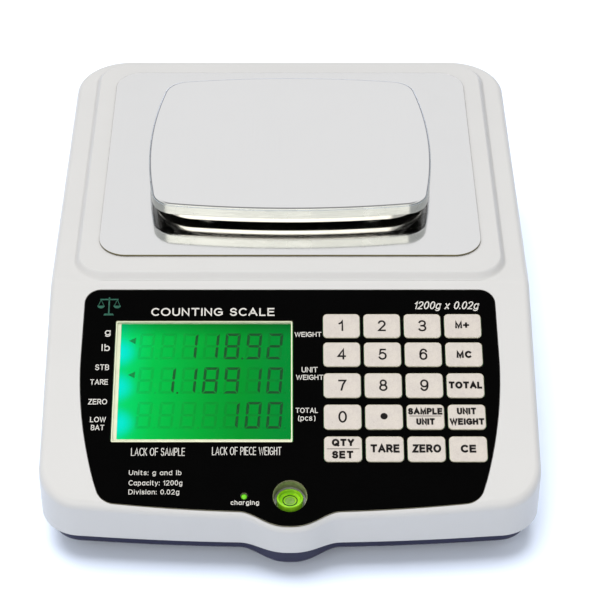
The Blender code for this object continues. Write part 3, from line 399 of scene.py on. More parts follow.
class Look:
    """A node material on object coordinates, which are metres in the object's frame."""

    def __init__(self, name, **sockets):
        self.material = bpy.data.materials.new(name)
        self.material.use_nodes = True
        self.tree = self.material.node_tree
        self.shader = self.tree.nodes["Principled BSDF"]
        self.place = self.node("ShaderNodeTexCoord").outputs["Object"]
        self.put(**sockets)

    def feed(self, socket, value):
        """Sets a socket, or links it if the value is an output of another node."""
        if isinstance(value, bpy.types.NodeSocket):
            self.tree.links.new(value, socket)
        else:
            socket.default_value = value

    def node(self, kind, inputs=(), **settings):
        made = self.tree.nodes.new(kind)
        for key, value in settings.items():
            setattr(made, key, value)
        for key, value in dict(inputs).items():
            self.feed(made.inputs[key], value)
        return made

    def put(self, **sockets):
        """Feeds the shader's sockets; an underscore stands for a space in a socket's name."""
        for key, value in sockets.items():
            self.feed(self.shader.inputs[key.replace("_", " ")], value)
        return self

    def noise(self, scale, detail=3.0, stretch=(1.0, 1.0, 1.0)):
        """Cloudy noise of about scale waves per metre, times a stretch for each axis."""
        mapping = self.node("ShaderNodeMapping", {"Vector": self.place, "Scale": stretch})
        vector = mapping.outputs["Vector"]
        return self.node("ShaderNodeTexNoise", {"Vector": vector, "Scale": scale, "Detail": detail}).outputs["Fac"]

    def ramp(self, factor, stops):
        made = self.node("ShaderNodeValToRGB", {"Fac": factor})
        set_stops(made, stops)
        return made.outputs["Color"]

    def varied(self, factor, colour, contrast):
        """A colour that is darker and lighter by a share of itself."""
        return self.ramp(factor, [(position, tuple(part * share for part in colour))
                                  for position, share in ((0.3, 1 - contrast), (0.7, 1 + contrast))])

    def spread(self, factor, low, high, start=0.3, stop=0.7, kind="LINEAR"):
        """A number that runs from low to high as factor runs from start to stop."""
        made = self.node("ShaderNodeMapRange", {"Value": factor, "From Min": start, "From Max": stop,
                                                "To Min": low, "To Max": high}, interpolation_type=kind)
        return made.outputs["Result"]

    def product(self, first, second):
        made = self.node("ShaderNodeMix", {"Factor": 1.0, "A": first, "B": second}, data_type="RGBA",
                         blend_type="MULTIPLY")
        return made.outputs["Result"]

    def bump(self, height, distance):
        made = self.node("ShaderNodeBump", {"Height": height, "Distance": distance, "Strength": 0.5})
        return self.put(Normal=made.outputs["Normal"])


def mottled(name, colour, roughness, cloud=120.0, grain=3000.0, contrast=0.06, relief=0.00002, **sockets):
    """Plastic, rubber or ink, with slow colour variation and a fine moulded grain."""
    look = Look(name, **sockets)
    clouds, fine = look.noise(cloud), look.noise(grain, 4.0)
    look.put(Base_Color=look.varied(clouds, colour, contrast),
             Roughness=look.spread(fine, roughness - 0.05, roughness + 0.05))
    return look.bump(fine, relief)


def brushed(name, colour, roughness, stretch, contrast=0.08, relief=0.000006):
    """Metal with fine brush lines; stretch gives waves per metre along each axis."""
    look = Look(name, Metallic=1.0)
    lines, smudge = look.noise(1.0, 4.0, stretch), look.noise(60.0, 2.0)
    look.put(Base_Color=look.varied(lines, colour, contrast),
             Roughness=look.spread(smudge, roughness * 0.8, roughness * 1.25))
    return look.bump(lines, relief)


def glowing(name, roughness, colours, strength, scale=400.0):
    """A body with some light of its own, slightly uneven between two colours: the charging light's own lamp, and a
    painted glow on the level's liquid and bubble.
    """
    look = Look(name, Roughness=roughness, Emission_Strength=strength)
    tint = look.ramp(look.noise(scale), [(0.35, colours[0]), (0.65, colours[1])])
    return look.put(Base_Color=tint, Emission_Color=tint)


def dark_film(look, alpha):
    """A liquid-crystal segment: a dark film that dims the light behind it."""
    dark = look.ramp(look.noise(700.0), [(0.3, (0.0, 0.030, 0.006)), (0.7, (0.0, 0.048, 0.010))])
    return look.put(Base_Color=dark, Alpha=alpha)


def window_look():
    """A clear film, finely scratched, that lets nearly all light straight through."""
    look = Look("window_film", IOR=1.49, Alpha=0.03)
    scratches = look.noise(1200.0)
    tint = look.ramp(scratches, [(0.3, (0.010, 0.012, 0.011)), (0.7, (0.020, 0.022, 0.021))])
    return look.put(Roughness=look.spread(scratches, 0.05, 0.12), Base_Color=tint)


def key_look():
    """Silver print under a matt film: a fine metallic speckle and faint cloudiness."""
    look = Look("key_silver", Specular_IOR_Level=0.35)
    speckle, clouds = look.noise(5200.0, 2.0), look.noise(260.0)
    base = look.ramp(speckle, [(0.28, (0.318, 0.290, 0.262)), (0.50, (0.385, 0.354, 0.324)),
                               (0.74, (0.450, 0.418, 0.384))])
    tint = look.ramp(clouds, [(0.35, (0.93, 0.93, 0.94)), (0.65, (1.0, 1.0, 0.99))])
    look.put(Base_Color=look.product(base, tint), Roughness=look.spread(speckle, 0.30, 0.44))
    return look.bump(speckle, 0.000012)


LCD_GLOW = [
    (0.00, (0.000, 0.90, 0.38)), (0.10, (0.000, 0.84, 0.17)), (0.25, (0.000, 0.66, 0.08)),
    (0.50, (0.000, 0.49, 0.042)), (0.75, (0.000, 0.36, 0.026)), (1.00, (0.000, 0.30, 0.035)),
]
LAMP_PLACES = [(-0.0815, 0.0383), (-0.0820, 0.0571), (-0.0812, 0.0762)]
LAMP_COLOUR, LAMP_REACH = (0.0, 1.0, 0.80, 1.0), 0.011
TOP_SHADOW, TOP_SHADOW_DEPTH = 0.55, 0.007


def lcd_look():
    """The lit display: bright at the lamps on its left edge and darker to the right and along the top."""
    look = Look("lit_display", Roughness=0.25, Specular_IOR_Level=0.03)
    parts = look.node("ShaderNodeSeparateXYZ", {"Vector": look.place})
    left = LCD_VIEW_CENTRE[0] - LCD_VIEW_SIZE[0] / 2
    across = look.spread(parts.outputs["X"], 0.0, 1.0, left, left + LCD_VIEW_SIZE[0])
    uneven = look.node("ShaderNodeMath", {0: look.noise(45.0, 2.0), 1: 0.10, 2: across}, operation="MULTIPLY_ADD")
    hot = None
    for x, down in LAMP_PLACES:
        centre = PANEL @ Vector((x, -down, LCD_TOP))
        distance = look.node("ShaderNodeVectorMath", {0: look.place, 1: centre}, operation="DISTANCE")
        near = look.spread(distance.outputs["Value"], 1.0, 0.0, 0.0, LAMP_REACH, "SMOOTHERSTEP")
        if hot is None:
            hot = near
        else:
            hot = look.node("ShaderNodeMath", {0: hot, 1: near}, operation="MAXIMUM").outputs[0]
    lit = look.node("ShaderNodeMix", {"Factor": hot, "A": look.ramp(uneven.outputs[0], LCD_GLOW),
                                      "B": LAMP_COLOUR}, data_type="RGBA").outputs["Result"]
    top_y = (PANEL @ Vector((0.0, LCD_VIEW_SIZE[1] / 2 - LCD_VIEW_CENTRE[1], LCD_TOP))).y
    shadow = look.spread(parts.outputs["Y"], 1.0, TOP_SHADOW, top_y - TOP_SHADOW_DEPTH, top_y)
    return look.put(Emission_Color=look.product(lit, shadow), Emission_Strength=0.85,
                    Base_Color=(0.0, 0.010, 0.003, 1.0))


CASE = mottled("moulded_case", (0.388, 0.386, 0.382), 0.38, cloud=25.0, grain=2400.0, contrast=0.012,
               relief=0.00003, Specular_IOR_Level=0.42)
BASE = mottled("navy_base", (0.0045, 0.0042, 0.026), 0.40, cloud=60.0, grain=2600.0, contrast=0.10,
               Specular_IOR_Level=0.30)
PLATE = brushed("deck_steel", (0.83, 0.83, 0.83), 0.10, (900.0, 30.0, 30.0), 0.004, 0.0000002)
# Painted shade: dark olive-brown steel on the plate's edge faces, drawn as the shadow line under the plate's edge.
PLATE_EDGE_SHADE = brushed("plate_edge_painted_shade", (0.17, 0.15, 0.07), 0.35, (300.0, 300.0, 3000.0), 0.25)
PAN_TOP = brushed("pan_steel", (0.84, 0.84, 0.84), 0.09, (900.0, 30.0, 30.0), 0.004, 0.0000002)
# The rim's brush lines are its finish; its colour, about half as bright as the pan's top, is painted shade.
PAN_RIM_BRUSHED_AND_SHADED = brushed("pan_rim_brushed_and_painted_shade", (0.43, 0.445, 0.425), 0.26, (160.0, 160.0, 5000.0), 0.12)
CARRIER = brushed("carrier_steel", (0.62, 0.61, 0.56), 0.20, (900.0, 60.0, 4000.0))
STEEL = brushed("fastener_steel", (0.60, 0.60, 0.59), 0.28, (600.0, 600.0, 600.0), 0.12)
ALUMINIUM = brushed("machined_aluminium", (0.66, 0.67, 0.68), 0.34, (80.0, 2600.0, 2600.0), 0.10)
OVERLAY = mottled("overlay_film", (0.0003, 0.0003, 0.0003), 0.22, cloud=80.0, grain=5200.0, contrast=0.2,
                  relief=0.000004, Specular_IOR_Level=0.06)
# Painted highlight: a tan colour on the film's cut edges, drawn as the light line round its border and openings.
OVERLAY_EDGE_HIGHLIGHT = mottled("overlay_edge_painted_highlight", (0.21, 0.19, 0.12), 0.5, cloud=500.0, contrast=0.2)
BEZEL = mottled("bezel_plastic", (0.50, 0.52, 0.38), 0.5, cloud=200.0, grain=2500.0)
KEY = key_look()
# Painted highlight: a lighter cream on the keys' soft edges.
KEY_EDGE_HIGHLIGHT = mottled("key_edge_painted_highlight", (0.48, 0.455, 0.36), 0.35, cloud=600.0, contrast=0.08)
WHITE_INK = mottled("white_ink", (0.42, 0.41, 0.385), 0.5, cloud=900.0)
DARK_INK = mottled("dark_ink", (0.004, 0.003, 0.003), 0.5, cloud=900.0, Specular_IOR_Level=0.2)
GREEN_INK = mottled("green_ink", (0.006, 0.058, 0.036), 0.45, cloud=700.0, contrast=0.25)
RING_INK = mottled("level_ring_ink", (0.008, 0.020, 0.006), 0.4, cloud=900.0)
CIRCUIT = mottled("circuit_board", (0.030, 0.170, 0.070), 0.45, cloud=700.0, contrast=0.35)
BATTERY = mottled("battery_case", (0.035, 0.036, 0.042), 0.55, contrast=0.15)
RUBBER = mottled("foot_rubber", (0.016, 0.016, 0.017), 0.80, grain=1800.0, contrast=0.2, relief=0.00006)
BLACK = mottled("black_plastic", (0.014, 0.014, 0.015), 0.40, grain=2600.0, contrast=0.15)
CABLE = mottled("cable_sleeve", (0.020, 0.020, 0.021), 0.55, grain=1500.0, contrast=0.15)
DIFFUSER = mottled("backlight_sheet", (0.80, 0.82, 0.78), 0.45, contrast=0.03)
# Painted shade: a dark grey-green for the wall of the level's bore, tinted by the green liquid below.
LEVEL_BORE_SHADE = mottled("level_bore_painted_shade", (0.17, 0.20, 0.085), 0.45, cloud=400.0, grain=2200.0, contrast=0.25)
LED_LOOK = glowing("charge_light", 0.2, [(0.06, 0.32, 0.004), (0.11, 0.42, 0.008)], 0.10)
# Painted glow: the level's liquid and bubble get light of their own, though they are no lamp.
LEVEL_GREEN_GLOW = glowing("level_liquid_painted_glow", 0.12, [(0.13, 0.36, 0.006), (0.21, 0.44, 0.012)], 0.10, 250.0)
BUBBLE_GLOW = glowing("level_bubble_painted_glow", 0.05, [(0.09, 0.19, 0.028), (0.14, 0.25, 0.05)], 0.03, 500.0)
CLEAR = window_look()
SEGMENT_LOOKS = {
    "segments_on": dark_film(mottled("lit_segment", (0.0, 0.039, 0.008), 0.5), 0.64),
    "segments_off": dark_film(Look("ghost_segment", Roughness=0.5), 0.08),
    "pointers": dark_film(Look("pointer_segment", Roughness=0.5), 0.42),
}


# ---- Case ----
def case_block(inset, deck_wall, panel_wall, bottom):
    """The solid under the case's top surface, inset from the outline; it also serves as the hollow."""
    reach = 0.15           # more than half the case's width
    turn = Matrix.Rotation(math.radians(90), 4, "Z") @ Matrix.Rotation(math.radians(90), 4, "X")
    profile = prism("profile", side_profile(deck_wall, panel_wall), -reach, reach, turn)
    return boolean("INTERSECT", prism("case_shell", body_outline(inset), bottom, SHOULDER_Z + BEYOND), profile)


def vial_place():
    return LEVEL_PLACE[0], PANEL_TOP_Y - LEVEL_PLACE[1] * math.cos(PANEL_SLOPE) + VIAL_SHIFT


def rear_frame(centre):
    """A frame on the rear wall: Z points out of the wall, X runs to the left as seen from behind."""
    turn = Matrix.Rotation(math.radians(180), 4, "Z") @ Matrix.Rotation(math.radians(90), 4, "X")
    return Matrix.Translation((centre[0], REAR_Y, centre[1])) @ turn


def post_circles():
    return [circle(POST_HOLE_RADIUS, (x, PAN_CENTRE_Y + y), 32)
            for x in (-POST_X, POST_X) for y in (-POST_Y, POST_Y)]


def post_holes():
    return [prism("post_hole", loop, INSIDE_Z, ABOVE_Z) for loop in post_circles()]


def case_shell():
    """The upper case: a hollow shell with its panel recess and every opening."""
    case = case_block(0.0, 0.0, 0.0, SEAM_Z)
    above_seam, at_seam, seam_radius = SEAM_Z + 0.005, SEAM_Z + 0.0001, 0.0009
    round_edges(case, EDGE_RADIUS, 7, 35.0, lambda e: min(v.co.z for v in e.verts) > above_seam)
    round_edges(case, seam_radius, 3, 60.0, lambda e: max(v.co.z for v in e.verts) < at_seam)
    cut(case, case_block(WALL, WALL, PANEL_WALL, -2 * BEYOND))
    cup = [(LEVEL_CUP_RADIUS, -LEVEL_CUP_DEPTH), (LEVEL_CUP_RADIUS, -LEVEL_CUP_TOP)]
    join(case, turned("level_cup", cup, 48, on_panel(LEVEL_PLACE)))
    switch_loop = rounded_rectangle((SWITCH_HOLE[0] + 2 * GAP, 2 * BEYOND), 0.0005, (SWITCH_CENTRE[0], REAR_Y))
    switch_reach = SWITCH_HOLE[1] / 2 + GAP
    cut(case,
        slab("recess", [overlay_outline(-GAP)], -OVERLAY_RECESS, BEYOND, matrix=PANEL),
        slab("window", [panel_rectangle(WINDOW_CENTRE, WINDOW_SIZE, GAP, WINDOW_CORNER)], -2 * BEYOND, BEYOND,
             matrix=PANEL),
        prism("level", circle(LEVEL_HOLE_RADIUS, segments=64), -LEVEL_BORE_DEPTH, BEYOND, on_panel(LEVEL_PLACE)),
        prism("light", circle(LED_RADIUS + GAP, segments=24), -2 * BEYOND, BEYOND, on_panel(LED_PLACE)),
        prism("pocket", circle(VIAL_RADIUS + GAP, vial_place()), VIAL_TOP_Z - VIAL_HEIGHT - GAP, INSIDE_Z),
        prism("switch", switch_loop, SWITCH_CENTRE[1] - switch_reach, SWITCH_CENTRE[1] + switch_reach),
        prism("jack", circle(JACK_RADIUS + GAP, segments=40), -BEYOND, BEYOND, rear_frame(JACK_CENTRE)),
        *post_holes())
    finished(case, CASE, "case", ["top_housing"], 28.0)


def raised_deck():
    """The raised deck: a soft ramp all round and a level field, standing on the shell's top."""
    steps, sunk, corner_share = 12, 0.0012, 0.6
    rings = [raised(rounded_rectangle(DECK_SIZE, DECK_CORNER, (0.0, DECK_CENTRE_Y), 14), SHOULDER_Z - sunk)]
    for step in range(steps + 1):
        share = step / steps
        inset = DECK_RAMP * share
        rise = share * share * (3 - 2 * share)
        corner = DECK_CORNER - inset * corner_share
        loop = rounded_rectangle(grown(DECK_SIZE, -inset), corner, (0.0, DECK_CENTRE_Y), 14)
        rings.append(raised(loop, SHOULDER_Z + (DECK_Z - SHOULDER_Z) * rise))
    deck = cut(loft("raised_deck", rings), *post_holes())
    finished(deck, CASE, "case", (), 40.0)


def lower_case():
    """The lower case: a tray with a rounded lower edge, an inner rim, foot recesses, screw posts and bolt holes."""
    edge, rim_low, post_low, recess_top = 0.0022, BASE_Z + 0.003, BASE_Z + 0.001, BASE_Z + FOOT_RECESS_DEPTH
    rings = [raised(body_outline(BASE_INSET + inset, BASE_BUMP), BASE_Z + up) for up, inset in quarter(edge, 5)]
    rings.append(raised(body_outline(BASE_INSET, BASE_BUMP), SEAM_Z - GAP))
    tray = join(loft("lower_case", rings), prism("rim", body_outline(BASE_INSET), rim_low, BASE_RIM_Z))
    cut(tray, prism("hollow", body_outline(BASE_INSET + WALL), BASE_Z + WALL, BASE_RIM_Z + BEYOND))
    for place in FOOT_PLACES.values():
        join(tray, rod(FOOT_RECESS_RADIUS + FOOT_RECESS_WALL, place, post_low, recess_top + FOOT_RECESS_WALL, 48),
             rod(FOOT_BOSS_RADIUS, place, rim_low, BASE_RIM_Z))
        cut(tray, rod(FOOT_RECESS_RADIUS, place, 0.0, recess_top, 48), rod(FOOT_BORE_RADIUS, place, *THROUGH))
    for place in SCREW_PLACES:
        join(tray, rod(SCREW_POST_RADIUS, place, post_low, BASE_RIM_Z))
        cut(tray, rod(SCREW_HEAD_RADIUS, place, 0.0, SCREW_HEAD_TOP), rod(SCREW_BORE_RADIUS, place, *THROUGH, 24))
    for offset in CELL_BOLT_OFFSETS:
        cut(tray, rod(CELL_BOLT_RADIUS, (0.0, PAN_CENTRE_Y + offset), *THROUGH, 24))
    finished(tray, BASE, "case", ["bottom_housing"], 28.0)


# ---- Deck plate, pan and carrier ----
def deck_plate():
    """The mirror-finished plate; its edge faces take a dark olive-brown steel in the second material slot, a painted
    shade line round the plate.
    """
    loop = rounded_rectangle(PLATE_SIZE, PLATE_CORNER, (0.0, PLATE_CENTRE_Y), 16)
    plate = slab("deck_plate_polished", [loop, *post_circles()], PLATE_Z, PLATE_Z + PLATE_THICKNESS, PLATE_BEVEL)
    finished(plate, PLATE, "case", ["deck_plate"])
    # The edge faces get painted shade.
    dress_edges(plate, PLATE_EDGE_SHADE, 0.8)


def weighing_pan():
    """The pan: a polished top with a rounded edge and a finely brushed rim, hollow underneath; the rim's steel, about
    half as bright as the top's, is painted shade.
    """
    edge, lip, bottom = 0.0014, 0.0002, PAN_TOP_Z - PAN_RIM
    path = [(SHEET + a, PAN_TOP_Z - SHEET - b) for a, b in quarter(edge - SHEET, 6)[::-1]]
    path += [(SHEET, bottom + lip), (SHEET - lip, bottom), (lip, bottom), (0.0, bottom + lip)]
    path += [(a, PAN_TOP_Z - b) for a, b in quarter(edge, 6)]
    pan = loft("pan_polished", [raised(bulged_outline(inset), z) for inset, z in path])
    finished(pan, PAN_TOP, "pan", ["weighing_pan"])
    # The rim and sides take the darker steel: painted shade.
    dress_edges(pan, PAN_RIM_BRUSHED_AND_SHADED, 0.75)


def pan_carrier():
    """The stepped tray under the pan: a wide low rim and a raised seat."""
    sheet, slant = 0.0009, 0.0005
    step_edge, fillet, seat_edge = 0.0009, 0.0006, 0.0012
    low, high, seat_top = CARRIER_INSET, CARRIER_TOP_INSET, PAN_TOP_Z - SHEET - GAP
    path = [(high + sheet + slant, seat_top - sheet), (high + sheet, seat_top - sheet - slant),
            (high + sheet, CARRIER_STEP_Z - sheet), (low + sheet, CARRIER_STEP_Z - sheet),
            (low + sheet, CARRIER_BOTTOM_Z), (low, CARRIER_BOTTOM_Z)]
    path += [(low + a, CARRIER_STEP_Z - b) for a, b in quarter(step_edge, 5)]
    path += [(high - b, CARRIER_STEP_Z + a) for a, b in quarter(fillet, 3)]
    path += [(high + a, seat_top - b) for a, b in quarter(seat_edge, 5)]
    carrier = loft("pan_seat", [raised(bulged_outline(inset, CARRIER_CORNER), z) for inset, z in path])
    finished(carrier, CARRIER, "platform", ["pan_carrier"])


# ---- Operator panel ----
def key_places():
    for row, names in zip(KEY_ROWS, KEY_NAMES):
        for column, name in zip(KEY_COLUMNS, names):
            yield name, (column, row)


def panel_overlay():
    """The black film, with openings for the keys, the display, the level and the charging light."""
    loops = [overlay_outline(), panel_rectangle(WINDOW_CENTRE, WINDOW_SIZE, 0.0, WINDOW_CORNER),
             circle(LEVEL_HOLE_RADIUS, (LEVEL_PLACE[0], -LEVEL_PLACE[1]), 64),
             circle(LED_RADIUS + GAP, (LED_PLACE[0], -LED_PLACE[1]), 24)]
    for _, (x, down) in key_places():
        loops.append(rounded_rectangle(grown(KEY_SIZE, GAP), KEY_CORNER + GAP, (x, -down), 6))
    overlay = slab("overlay_film", loops, -OVERLAY_THICKNESS, 0.0, SHEET_BEVEL, PANEL)
    finished(overlay, OVERLAY, "case", ["panel_overlay"])
    # The film's cut edges get a painted highlight.
    dress_edges(overlay, OVERLAY_EDGE_HIGHLIGHT, 0.3)


def keys():
    """Twenty silver pads with soft edges, which are wider than they are deep."""
    soft, depth_share = 0.0005, 0.6
    rings = [raised(rounded_rectangle(KEY_SIZE, KEY_CORNER), KEY_PROUD - KEY_THICKNESS)]
    for inset, below in quarter(soft, 5):
        loop = rounded_rectangle(grown(KEY_SIZE, -inset), KEY_CORNER - inset)
        rings.append(raised(loop, KEY_PROUD - depth_share * below))
    for name, place in key_places():
        pad = loft(name + "_pad", rings, on_panel(place))
        finished(pad, KEY, name + "_cap", [name])
        # The keys' soft edges get a painted highlight.
        dress_edges(pad, KEY_EDGE_HIGHLIGHT, 0.9)


# Strokes of each letter on a grid of capital height 1. Strokes are parted by semicolons, and the steps of a
# stroke by commas: a point as x y, or an arc as centre x y, radius x y, start and end angle.
GLYPH_TABLE = """
A 0 0, .42 1, .84 0; .14 .32, .7 .32
B 0 0, 0 1, .34 1, .34 .76 .24 .24 90 -90, 0 .52; .34 .52, .34 .26 .28 .26 90 -90, 0 0
C .42 .5 .42 .5 48 312
D 0 0, 0 1, .3 1, .3 .5 .44 .5 90 -90, 0 0
E .62 1, 0 1, 0 0, .64 0; 0 .53, .57 .53
F .6 1, 0 1, 0 0; 0 .52, .52 .52
G .43 .5 .43 .5 48 318, .82 .17, .82 .47, .46 .47
H 0 0, 0 1; .68 0, .68 1; 0 .53, .68 .53
I 0 0, 0 1
K 0 0, 0 1; .66 1, 0 .36; .22 .57, .68 0
L 0 1, 0 0, .54 0
M 0 0, 0 1, .4 .06, .8 1, .8 0
N 0 0, 0 1, .68 0, .68 1
O .45 .5 .45 .5 90 450
P 0 0, 0 1, .36 1, .36 .73 .27 .27 90 -90, 0 .46
Q .45 .5 .45 .5 90 450; .54 .26, .9 -.06
R 0 0, 0 1, .38 1, .38 .74 .26 .26 90 -90, 0 .48; .34 .48, .68 0
S .33 .745 .28 .255 15 235, .33 .265 .31 .265 65 -165
T 0 1, .74 1; .37 0, .37 1
U 0 1, 0 .34, .34 .34 .34 .34 180 360, .68 1
W 0 1, .28 0, .57 .94, .86 0, 1.14 1
Y 0 1, .38 .44, .76 1; .38 0, .38 .44
Z .03 1, .64 1, 0 0, .66 0
0 .28 .5 .28 .5 90 450
1 0 .73, .14 .81, .25 1, .25 0
2 .28 .72 .27 .28 165 -38, .02 0, .57 0
3 .27 .75 .25 .25 160 -90, .18 .5; .18 .5, .27 .25 .28 .25 90 -160
4 .42 0, .42 1, 0 .29, .58 .29
5 .52 1, .12 1, .05 .54, .27 .33 .29 .33 128 -155
6 .29 .32 .27 .32 90 450; .31 .52 .29 .48 35 200
7 0 1, .56 1, .34 .56, .21 0
8 .28 .755 .23 .245 90 450; .28 .26 .28 .26 90 450
9 .27 .68 .27 .32 90 450; .25 .48 .29 .48 215 380
a .27 .36 .27 .36 90 450; .54 .72, .54 0
b 0 0, 0 1; .27 .36 .27 .36 90 450
c .27 .36 .27 .36 45 315
d .27 .36 .27 .36 90 450; .54 1, .54 0
g .27 .36 .27 .36 90 450; .54 .72, .54 -.05, .27 -.05 .27 .22 0 -150
h 0 0, 0 1; 0 .42, .24 .46 .24 .26 160 0, .48 0
i 0 0, 0 .72; 0 .9, 0 1
l 0 0, 0 1
n 0 0, 0 .72; 0 .42, .24 .46 .24 .26 160 0, .48 0
o .27 .36 .27 .36 90 450
p 0 -.26, 0 .72; .27 .36 .27 .36 90 450
r 0 0, 0 .72; 0 .4, .26 .42 .24 .3 165 75
s .23 .53 .2 .19 15 235, .23 .19 .22 .19 65 -165
t .12 .95, .12 .14, .2 .02, .32 0; 0 .72, .3 .72
v 0 .72, .25 0, .5 .72
x 0 0, .48 .72; 0 .72, .48 0
y 0 .72, .26 0; .52 .72, .2 -.18, .06 -.24
: 0 0, 0 .1; 0 .6, 0 .7
. 0 0, 0 .09
+ 0 .45, .72 .45; .36 .09, .36 .81
( .3 .38 .3 .64 125 235
) 0 .38 .3 .64 55 -55
"""
GLYPHS = {" ": []}
for entry in GLYPH_TABLE.split("\n")[1:-1]:
    GLYPHS[entry[0]] = [[tuple(map(float, item.split())) for item in stroke.split(",")]
                        for stroke in entry[1:].split(";")]
SPACE_WIDTH = 0.22
LEAST_GAP, MOST_GAP = 0.16, 0.23    # clear space between two letters, in capital heights
STROKE_CAP = 0.38                   # how far a stroke runs on past its end, in pen widths
MITRE_LIMIT = 0.45                  # least share of the pen's width across a bend

# Legends: text, centre x, centre down, width, height, pen, in millimetres from the key's centre
LEGENDS = {
    "key_1": [("1", -0.3, 0, 2.4, 5.9, 0.88)], "key_2": [("2", 0, 0, 4, 6, 0.88)],
    "key_3": [("3", 0, 0, 4, 6.2, 0.88)], "key_4": [("4", 0, 0, 4.2, 5.9, 0.88)],
    "key_5": [("5", 0, 0, 4, 6, 0.88)], "key_6": [("6", 0, 0, 4, 6.2, 0.88)],
    "key_7": [("7", 0, 0, 4, 5.9, 0.88)], "key_8": [("8", 0, 0, 4, 6.2, 0.88)],
    "key_9": [("9", 0, 0, 4, 6.2, 0.88)], "key_0": [("0", 0, 0, 4.1, 6.2, 0.88)],
    "key_memory_add": [("M+", -0.2, -0.5, 6.9, 4, 0.96)], "key_memory_clear": [("MC", 0, 0.1, 7.2, 3.9, 1.06)],
    "key_total": [("TOTAL", 0, -0.1, 16.1, 3.8, 1.06)],
    "key_sample_unit": [("SAMPLE", 0, -2.9, 16.4, 3.5, 0.96), ("UNIT", 0, 2.5, 8.8, 3.5, 0.96)],
    "key_unit_weight": [("UNIT", 0, -3, 9.2, 3.6, 0.96), ("WEIGHT", 0, 2.5, 16.4, 3.5, 0.96)],
    "key_quantity_set": [("QTY", 0, -3.2, 10.5, 4, 1.06), ("SET", -0.2, 3, 10.1, 4, 1.06)],
    "key_tare": [("TARE", 0.1, -0.2, 13.8, 4.3, 1.06)], "key_zero": [("ZERO", 0.1, -0.2, 13.5, 4.3, 1.06)],
    "key_clear": [("CE", 0.1, -0.1, 7.4, 4.1, 1.06)],
}
LEGEND_RULES = {"key_sample_unit": (15, -0.4), "key_quantity_set": (15.3, 0)}      # width, centre down
RULE_HEIGHT, RULE_CORNER = 0.00028, 0.0001
DOT_RADIUS, DOT_CENTRE = 0.0017, (0.0, 0.0003)
INK_THICKNESS = 0.00004


def stroke_points(stroke):
    """A stroke's corner points, with its arcs broken into short steps."""
    found = []
    for item in stroke:
        if len(item) == 2:
            steps = [item]
        else:
            x, y, radius_x, radius_y, start, end = item
            count = max(6, round(abs(end - start) / 15))
            angles = [math.radians(start + (end - start) * step / count) for step in range(count + 1)]
            steps = [(x + radius_x * math.cos(a), y + radius_y * math.sin(a)) for a in angles]
        found += [point for point in steps if not found or math.dist(point, found[-1]) > 1e-6]
    return found


def add_stroke(edit, points, pen, low):
    """Adds a flat ribbon of the pen's width along points, with square ends, as a closed body."""
    closed = math.dist(points[0], points[-1]) < 1e-7
    points = [Vector(p) for p in (points[:-1] if closed else points)]
    if not closed:
        first, last = (points[0] - points[1]).normalized(), (points[-1] - points[-2]).normalized()
        points[0] = points[0] + first * pen * STROKE_CAP
        points[-1] = points[-1] + last * pen * STROKE_CAP
    count = len(points)
    rings = []
    for i, point in enumerate(points):
        before = points[i - 1] if i or closed else None
        after = points[(i + 1) % count] if i < count - 1 or closed else None
        into = (point - before).normalized() if before else None
        out = (after - point).normalized() if after else None
        along = ((into or out) + (out or into)).normalized()
        side = Vector((-along.y, along.x))
        reach = pen / 2 / max(MITRE_LIMIT, side.dot(Vector((-(out or into).y, (out or into).x))))
        left, right = point + side * reach, point - side * reach
        rings.append([(*left, low), (*right, low), (*right, low + INK_THICKNESS), (*left, low + INK_THICKNESS)])
    add_loft(edit, rings, closed)


def glyphs(edit, text, centre, size, pen, slant=0.0, low=0.0):
    """Adds a text, fitted to a box of size about centre, in millimetres and a panel's frame."""
    shapes = [[stroke_points(stroke) for stroke in GLYPHS[letter]] for letter in text]
    widths = [max((p[0] for stroke in shape for p in stroke), default=SPACE_WIDTH) for shape in shapes]
    heights = [p[1] for shape in shapes for stroke in shape for p in stroke]
    low_y, high_y = min(heights), max(heights)
    scale_y = (size[1] - pen) / (high_y - low_y)
    lean = slant * (high_y - low_y) * scale_y
    room = size[0] - pen - abs(lean)
    gaps = len(text) - 1
    scale_x = scale_y if gaps else room / widths[0]
    step = 0.0
    if gaps:
        room_for_letters = room - gaps * pen * 2 * STROKE_CAP
        gap = (room_for_letters / scale_x - sum(widths)) / gaps
        gap = min(max(gap, LEAST_GAP), MOST_GAP)
        scale_x = room_for_letters / (sum(widths) + gaps * gap)
        step = gap * scale_x + pen * 2 * STROKE_CAP
    start = -room / 2 - lean / 2
    for shape, width in zip(shapes, widths):
        for stroke in shape:
            points = []
            for x, y in stroke:
                up = (y - low_y) * scale_y
                points.append(((centre[0] + start + x * scale_x + slant * up) / 1000,
                               (-centre[1] + up - (size[1] - pen) / 2) / 1000))
            add_stroke(edit, points, pen / 1000, low)
        start += width * scale_x + step


def add_print(edit, loop, low):
    """Adds a printed shape as thick as the ink."""
    add_loft(edit, [raised(loop, low), raised(loop, low + INK_THICKNESS)])


def legends():
    """The keys' legends, which ride with them."""
    for name, place in key_places():
        edit = bmesh.new()
        for text, x, down, width, height, pen in LEGENDS.get(name, []):
            glyphs(edit, text, (x, down), (width, height), pen, 0.0, KEY_PROUD)
        if name == "key_point":
            add_print(edit, circle(DOT_RADIUS, DOT_CENTRE, 40), KEY_PROUD)
        if name in LEGEND_RULES:
            width, down = LEGEND_RULES[name]
            loop = rounded_rectangle((width / 1000, RULE_HEIGHT), RULE_CORNER, (0.0, -down / 1000), 2)
            add_print(edit, loop, KEY_PROUD)
        finished(new_object(name + "_legend", edit, on_panel(place)), DARK_INK, name + "_cap")


